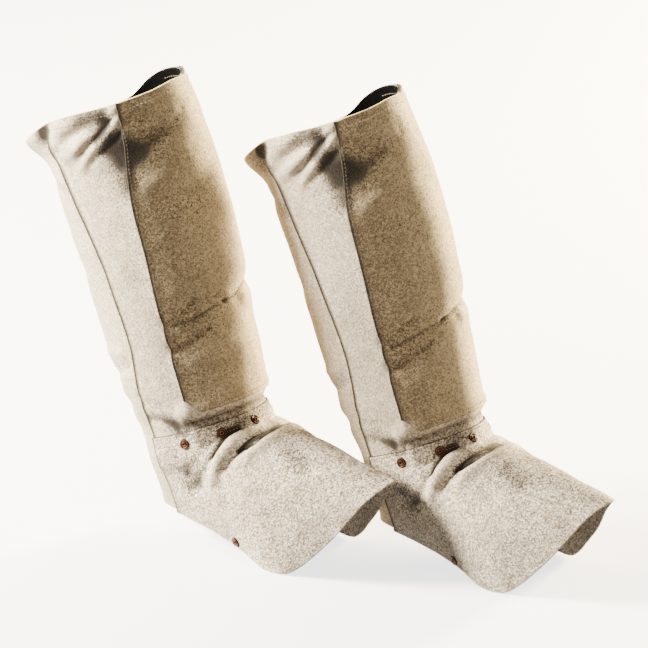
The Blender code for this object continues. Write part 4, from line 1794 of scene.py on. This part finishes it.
@dataclass
class SubAssembly:
    """Part of one legging, cut from the legging's grid."""

    side: str
    grid: ClothGrid
    shop: Workshop
    cloth: float = 0.0020
    gap: float = 0.0003
    tape: float = 0.0016
    far_lap: float = -125.0
    cover_ease: tuple = (0.07, 0.31)

    def cut(self, name: str, rows: list, columns: list, offset: object, thickness: float,
            edges: tuple = (EdgeTone.PLAIN,) * 4) -> Sheet:
        """Cut a sheet from the grid.

        Args:
            name: The node that it stands for, without the side.
            rows: The grid's rows.
            columns: The grid's columns.
            offset: How far out the inner face lies, for the whole, each row or each place.
            thickness: The cloth's thickness.
            edges: The tones of the top, last, bottom and first edges.

        Returns:
            The sheet.
        """
        part = np.ix_(rows, columns)
        offsets = np.broadcast_to(offset, (len(rows), len(columns)))[..., None]
        places, normals = self.grid.places[part], self.grid.normals[part]
        return Sheet(
            f"{self.side}_{name}_cloth",
            places + normals * offsets,
            places + normals * (offsets + thickness),
            self.grid.hollow[part].copy(),
            self.grid.ridge_share[part].copy(),
            edges,
        )

    def finish_sheet(self, sheet: Sheet, node: str, slot: str, material: bpy.types.Material,
                     cut: Cut) -> None:
        """Args:
            sheet: The sheet.
            node: The node that it stands for, without the side.
            slot: The record's material slot.
            material: The finish.
            cut: Its flat cut; not used.
        """
        width, length, area = sheet.flat_size()
        LOG.info("%s: %.3f x %.3f m, %.4f m2", sheet.name, width, length, area)
        piece = place_piece(sheet.build(material), slot, f"{self.side}_{node}")

    def row(self, turns: np.ndarray, rows: np.ndarray, offset: float) -> tuple[np.ndarray, np.ndarray]:
        """A path for stitches over the cloth.

        Args:
            turns: Degrees round the leg, one a point.
            rows: Rows of the grid, one a point.
            offset: How far out the path lies.

        Returns:
            The places and normals along it.
        """
        found = [self.grid.at(turn, row) for turn, row in zip(turns, rows)]
        normals = np.array([normal for _, normal in found])
        return np.array([place for place, _ in found]) + normals * offset, normals

    def sew(self, name: str, paths: list, size: StitchSize, thread: bpy.types.Material) -> None:
        """Sew rows of stitches and place them.

        Args:
            name: The piece's name, without the side.
            paths: Pairs of places and outward normals, one pair a row.
            size: The stitches' sizes.
            thread: The thread's finish.
        """
        made = self.shop.stitches.sew(f"{self.side}_{name}_stitches", paths, size, thread)
        place_piece(made, "suede")

    def back_offset(self, turns: np.ndarray) -> np.ndarray:
        """Where the back panel's inner face lies: under the tape, then under the far lap.

        Args:
            turns: Degrees round the leg, 0 to 360.

        Returns:
            Metres out from the grid, all negative.
        """
        flap, far_edge = self.grid.form.flap_edge, self.far_lap % 360.0
        near = -(self.cloth + self.tape + 2 * self.gap)
        far = -(self.cloth + self.gap)
        return near + (far - near) * ease((turns - flap) / (far_edge - flap))

    def cover_offset(self, rows: np.ndarray) -> np.ndarray:
        """Where the foot cover's inner face lies: over the leg body in the lap, then easing in.

        Args:
            rows: Rows of the grid.

        Returns:
            Metres out from the grid.
        """
        share = (rows - self.grid.marks["lap end"]) / self.grid.foot_row_count
        first, last = self.cover_ease
        return (self.cloth + self.gap) * (1 - ease((share - first) / (last - first)))


@dataclass
class LegWrap(SubAssembly):
    """The leg body round the front, the shin panel on it and the facing inside."""

    facing_thickness: float = 0.0010
    facing_edges: tuple = (88.0, 85.0)
    facing_step: tuple = (250.0, 12.0)
    seam_drop: float = 0.0080
    rim_rows: tuple = ((-63.0, 63.0), (66.5, 108.0), (-123.0, -66.5), (-80.0, 62.0))
    rim_points: int = 60
    side_points: int = 90
    panel_seam_top: float = 0.325
    panel_seam_rows: float = 1.2
    panel_seam_turns: tuple = (1.5, 2.4)
    rim_stitch: StitchSize = StitchSize(0.0042, 0.0029, 0.0014, 0.0011)

    def build(self) -> None:
        """Make and dress the three sheets and their stitches."""
        form, grid, finishes = self.grid.form, self.grid, self.shop.finishes
        body_columns = grid.column_range(self.far_lap, form.flap_edge)
        body = self.cut(
            "leg_body", grid.row_range("rim", "lap end"), body_columns, 0.0, self.cloth,
            (EdgeTone.RIM, EdgeTone.DARK, EdgeTone.PLAIN, EdgeTone.PLAIN),
        )
        # Painted shadow: a dark band along the flap's edge.
        body.edge_line = (0.6, 1.0, 1.0, 1.0)
        self.finish_sheet(body, "leg_body", "suede", finishes.suede,
                          Cut((0.345, 0.375), 0.1130, "stretched", ("back_panel",)))
        panel_columns = grid.column_range(-form.panel_edge, form.panel_edge)
        panel = self.cut(
            "shin_panel", grid.row_range("rim", "panel bottom"), panel_columns,
            self.cloth + self.gap, self.cloth,
            (EdgeTone.RIM, EdgeTone.DARK, EdgeTone.DARK, EdgeTone.DARK),
        )
        self.finish_sheet(panel, "shin_panel", "suede", finishes.panel_suede,
                          Cut((0.180, 0.335), 0.0545, "stretched", ("leg_body",)))
        self._facing()
        self._sew()

    def _facing(self) -> None:
        """The black facing inside the top, which steps in over the back panel."""
        grid, thickness = self.grid, self.facing_thickness
        columns = grid.column_range(*self.facing_edges)
        turns = grid.turns[columns] % 360.0
        step_from, step_span = self.facing_step
        over_back = self.back_offset(turns) * (1 - ease((turns - step_from) / step_span))
        over_back = np.where(turns >= self.facing_edges[0] - 0.1, over_back, 0.0)
        offsets = over_back - thickness - self.gap
        sheet = self.cut("facing", grid.row_range("rim", "facing bottom"), columns, offsets, thickness)
        self.finish_sheet(sheet, "facing", "facing", self.shop.finishes.facing,
                          Cut((0.490, 0.085), 0.0378, "stretched", ("leg_body", "back_panel")))

    def _sew(self) -> None:
        """The rows of stitches along the rim and round the shin panel."""
        grid, edge = self.grid, self.grid.form.panel_edge
        shaded_tan_thread = self.shop.finishes.shaded_tan_thread
        on_panel = 2 * self.cloth + self.gap
        offsets = (on_panel, self.cloth, self.cloth, -self.facing_thickness - self.gap)
        paths = []
        for ends, offset in zip(self.rim_rows, offsets):
            turns = np.linspace(*ends, self.rim_points)
            heights = grid.form.rim_height(turns) - self.seam_drop
            rows = np.array([grid.leg_row(turn, height) for turn, height in zip(turns, heights)])
            places, normals = self.row(turns, rows, offset)
            paths.append((places, normals * np.sign(offset)))
        self.sew("rim", paths[:1], self.rim_stitch, self.shop.finishes.pale_thread)
        beside, below = self.panel_seam_turns
        low = grid.marks["panel bottom"] - self.panel_seam_rows
        rows = np.linspace(grid.leg_row(64.0, self.panel_seam_top), low, self.side_points)
        paths = paths[1:]
        for side in (-1, 1):
            paths.append(self.row(np.full(len(rows), side * (edge - beside)), rows, on_panel))
        turns = np.linspace(below - edge, edge - below, self.rim_points)
        paths.append(self.row(turns, np.full(len(turns), low), on_panel))
        self.sew("shin_panel", paths, StitchSize(), shaded_tan_thread)


@dataclass
class BackClosure(SubAssembly):
    """The back panel, and the tape that closes it under the flap."""

    near_edge: float = 88.0
    far_edge: float = -110.0
    flap_shadow_degrees: float = 1.6
    tape_edges: tuple = (91.0, 107.0)
    tape_top: float = 0.325
    tape_end: float = 0.87
    seam_turns: tuple = (-122.6, -119.8)
    seam_top: float = 0.312
    seam_end: float = 0.98
    seam_points: int = 130

    def build(self) -> None:
        """Make and dress the panel, the tape and the seam on the far side."""
        grid, finishes = self.grid, self.shop.finishes
        columns = grid.column_range(self.near_edge, self.far_edge)
        turns = grid.turns[columns] % 360.0
        panel = self.cut(
            "back_panel", grid.row_range("rim", "hem"), columns, self.back_offset(turns), self.cloth,
            (EdgeTone.PALE, EdgeTone.PLAIN, EdgeTone.PLAIN, EdgeTone.PLAIN),
        )
        # Painted shadow: the back panel darkens in a thin line along the flap's edge.
        flap_shadow = np.exp(-np.abs(turns - grid.form.flap_edge) / self.flap_shadow_degrees)
        panel.hollow = np.maximum(panel.hollow, flap_shadow[None, :])
        self.finish_sheet(panel, "back_panel", "suede", finishes.suede,
                          Cut((0.235, 0.460), 0.0817, "stretched"))
        first = int(grid.leg_row(sum(self.tape_edges) / 2, self.tape_top))
        tape = self.cut(
            "closure_tape", list(range(first, int(grid.foot_row(self.tape_end)) + 1)),
            grid.column_range(*self.tape_edges), -(self.tape + self.gap), self.tape,
        )
        self.finish_sheet(tape, "closure_tape", "closure_tape", finishes.tape,
                          Cut((0.046, 0.435), 0.0096, "laid", ("back_panel",)))
        first, last = grid.leg_row(-123.0, self.seam_top), grid.foot_row(self.seam_end)
        rows = np.linspace(first, last, self.seam_points)
        over_seam = self._over_seam(rows)
        paths = [self.row(np.full(len(rows), turn), rows, over_seam) for turn in self.seam_turns]
        self.sew("back_seam", paths, StitchSize(), finishes.shaded_tan_thread)

    def _over_seam(self, rows: np.ndarray) -> np.ndarray:
        """How far out the far seam's stitches lie, over the body and then over the foot cover."""
        on_cover = np.where(rows >= self.grid.marks["seam"], self.cover_offset(rows), 0.0)
        return (self.cloth + on_cover)[:, None]


@dataclass
class FootCover(SubAssembly):
    """The riveted cover over the instep and toe, and the strap under the foot."""

    rivets_around: tuple = (76.0, 43.0, 9.0, -50.0, -80.0)
    rivet_drop: float = 0.011
    strap_edges: tuple = (79.0, 85.0)
    strap_top: float = 0.87
    strap_rivet: float = 0.93
    strap_sag: float = 0.0010
    strap_columns: int = 9
    strap_end_rows: int = 8
    strap_steps: int = 44
    stitch_drops: tuple = (0.0024, 0.0112)
    stitch_turns: tuple = (-121.0, 106.0)
    stitch_points: int = 110
    stitch: StitchSize = StitchSize(0.0036, 0.0025, 0.0009)

    def build(self) -> None:
        """Make and dress the cover, the strap, the rivets and the stitches."""
        grid, finishes = self.grid, self.shop.finishes
        rows = grid.row_range("seam", "hem")
        cover = self.cut(
            "foot_cover", rows, grid.column_range(self.far_lap, grid.form.flap_edge),
            self.cover_offset(np.array(rows))[:, None], self.cloth,
            (EdgeTone.DARK, EdgeTone.DARK, EdgeTone.PLAIN, EdgeTone.PLAIN),
        )
        self.finish_sheet(cover, "foot_cover", "suede", finishes.cover_suede,
                          Cut((0.630, 0.200), 0.0591, "stretched", ("leg_body",)))
        self._strap()
        self._rivets()
        turns = np.linspace(*self.stitch_turns, self.stitch_points)
        paths = [
            self.row(turns, np.full(len(turns), grid.leg_row(0.0, -drop)), 2 * self.cloth + self.gap)
            for drop in self.stitch_drops
        ]
        self.sew("cover", paths, self.stitch, finishes.shaded_tan_thread)

    def _strap(self) -> None:
        """The instep strap, from the cover's hem on the right, under the foot, to the left."""
        turns = np.linspace(*self.strap_edges, self.strap_columns)
        top, hem = self.grid.foot_row(self.strap_top), self.grid.marks["hem"]
        rows = np.linspace(top, hem, self.strap_end_rows)
        inner = -(self.cloth + self.gap)
        ends = []
        for side in (1, -1):
            line = []
            for row in rows:
                found = [self.grid.at(side * turn, row) for turn in turns]
                line.append([place + normal * inner for place, normal in found])
            ends.append(np.array(line))
        near, far = ends[0], ends[1][::-1]
        start, end = near[-1], far[0]
        steps = []
        for step in range(1, self.strap_steps):
            turn = math.pi * step / self.strap_steps
            row = start + (end - start) * (1 - math.cos(turn)) / 2
            low = np.minimum(start[:, 2], end[:, 2]) - self.strap_sag
            row[:, 2] += (low - row[:, 2]) * math.sin(turn) ** 0.5
            steps.append(row)
        places = np.concatenate((near, np.array(steps), far))
        normals = np.cross(np.gradient(places, axis=0), np.gradient(places, axis=1))
        normals = normals / np.linalg.norm(normals, axis=-1, keepdims=True)
        blank = np.zeros(places.shape[:2])
        sheet = Sheet(
            f"{self.side}_instep_strap_cloth", places, places + normals * self.cloth, blank, blank,
        )
        self.finish_sheet(sheet, "instep_strap", "suede", self.shop.finishes.suede,
                          Cut((0.027, 0.148), 0.0034, "stretched", ("foot_cover",)))

    def _rivets(self) -> None:
        """The five rivets below the cover's top edge and one at each end of the strap."""
        shape = RivetHead().build()
        values = {"Head": shape, "Copper": self.shop.finishes.copper}
        drop_row = self.grid.leg_row(0.0, -self.rivet_drop)
        strap_turn, strap_row = sum(self.strap_edges) / 2, self.grid.foot_row(self.strap_rivet)
        spots = [(turn, drop_row, 2 * self.cloth + self.gap) for turn in self.rivets_around]
        spots += [(side * strap_turn, strap_row, self.cloth) for side in (1, -1)]
        for number, (turn, row, offset) in enumerate(spots, start=1):
            place, outward = self.grid.at(turn, row)
            seat = (place + outward * offset)[None]
            name = f"{self.side}_rivet_{number}"
            piece = self.shop.rivets.run(f"{name}_head", seat, outward[None], [], values)
            place_piece(piece, "copper", name)
        bpy.data.objects.remove(shape, do_unlink=True)


@dataclass
class Legging:
    """One legging of the pair."""

    side: str
    move: tuple
    seed: int

    def build(self, shop: Workshop) -> None:
        """Make all its pieces.

        Args:
            shop: The finishes and tools.
        """
        grid = ClothGrid(self.seed, self.move)
        LOG.info("%s legging: %d rows by %d columns", self.side, *grid.places.shape[:2])
        for part in (LegWrap, BackClosure, FootCover):
            part(self.side, grid, shop).build()


class Light(NamedTuple):
    """A soft studio light: where it stands round the leg, its height, size, power and colour."""

    name: str
    around: float
    elevation: float
    distance: float
    size: float
    power: float
    colour: Colour


@dataclass
class Studio:
    """The camera, the lights and the floor."""

    azimuth: float = -55.0
    elevation: float = 21.0
    distance: float = 26.0
    frame_width: float = 0.648
    sensor: float = 36.0
    target: tuple = (0.0951, -0.0772, 0.0876)
    far_clip: float = 100.0
    floor_size: float = 90.0
    sky_colour: Colour = (1.0, 0.86, 0.70)
    sky_strength: float = 0.42
    lights: tuple = (
        Light("key", 152.0, 24.0, 2.4, 1.0, 660.0, (1.0, 0.92, 0.75)),
        Light("warm_side", -76.5, 8.0, 2.4, 0.6, 800.0, (1.0, 0.82, 0.50)),
        Light("front_fill", 10.0, 14.0, 2.4, 0.8, 24.0, (1.0, 0.84, 0.60)),
    )

    def build(self) -> None:
        """Set up the studio."""
        self._camera()
        for light in self.lights:
            self._light(light)
        self._floor()
        sky = bpy.data.worlds.new("studio")
        sky.use_nodes = True
        wiring = Wiring(sky.node_tree)
        inputs = {"Color": self.sky_colour, "Strength": self.sky_strength}
        wiring.feed_all(sky.node_tree.nodes["Background"], inputs)
        bpy.context.scene.world = sky

    def _camera(self) -> None:
        """A long lens at the photograph's angle, as wide as its frame at the pair."""
        azimuth, elevation = math.radians(self.azimuth), math.radians(self.elevation)
        away = Vector((
            math.sin(azimuth) * math.cos(elevation),
            -math.cos(azimuth) * math.cos(elevation),
            math.sin(elevation),
        ))
        data = bpy.data.cameras.new("camera")
        data.sensor_width = self.sensor
        data.lens = self.sensor * self.distance / self.frame_width
        data.clip_end = self.far_clip
        bpy.context.scene.camera = self._aim("camera", data, away, self.distance)

    def _aim(self, name: str, data: bpy.types.ID, way: Vector, distance: float) -> bpy.types.Object:
        """Stand a camera or a light some way off, facing the pair.

        Args:
            name: Its name.
            data: The camera or the light.
            way: The way to it from the pair.
            distance: How far off it stands.

        Returns:
            The new object.
        """
        made = new_object(name, data)
        made.location = Vector(self.target) + way * distance
        made.rotation_euler = (-way).to_track_quat("-Z", "Y").to_euler()
        return made

    def _light(self, light: Light) -> None:
        """A round soft light that faces the pair.

        Args:
            light: Its place and strength.
        """
        turn, rise = math.radians(light.around), math.radians(light.elevation)
        way = world_direction(np.array((
            math.cos(turn) * math.cos(rise), math.sin(turn) * math.cos(rise), math.sin(rise),
        )))
        data = bpy.data.lights.new(light.name, "AREA")
        data.shape = "DISK"
        data.size = light.size
        data.energy = light.power
        data.color = light.colour
        self._aim(light.name, data, Vector(way), light.distance)

    def _floor(self) -> None:
        """A wide pale floor at the pair's lowest point."""
        half, low = self.floor_size / 2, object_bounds()[0].z
        mesh = bpy.data.meshes.new("floor")
        corners = [(-half, -half, low), (half, -half, low), (half, half, low), (-half, half, low)]
        mesh.from_pydata(corners, [], [(0, 1, 2, 3)])
        mesh.materials.append(FloorFinish("floor").build())
        made = new_object("floor", mesh)
        made.visible_diffuse = False
        made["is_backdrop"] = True


def main() -> None:
    """Build the pair and the studio."""
    logging.basicConfig(level=logging.INFO, format="%(message)s")
    shop = Workshop()
    Legging("right", (0.0, 0.0, 0.0), 11).build(shop)
    Legging("left", SECOND_LEGGING, 23).build(shop)
    Studio().build()


if __name__ == "__main__":
    main()
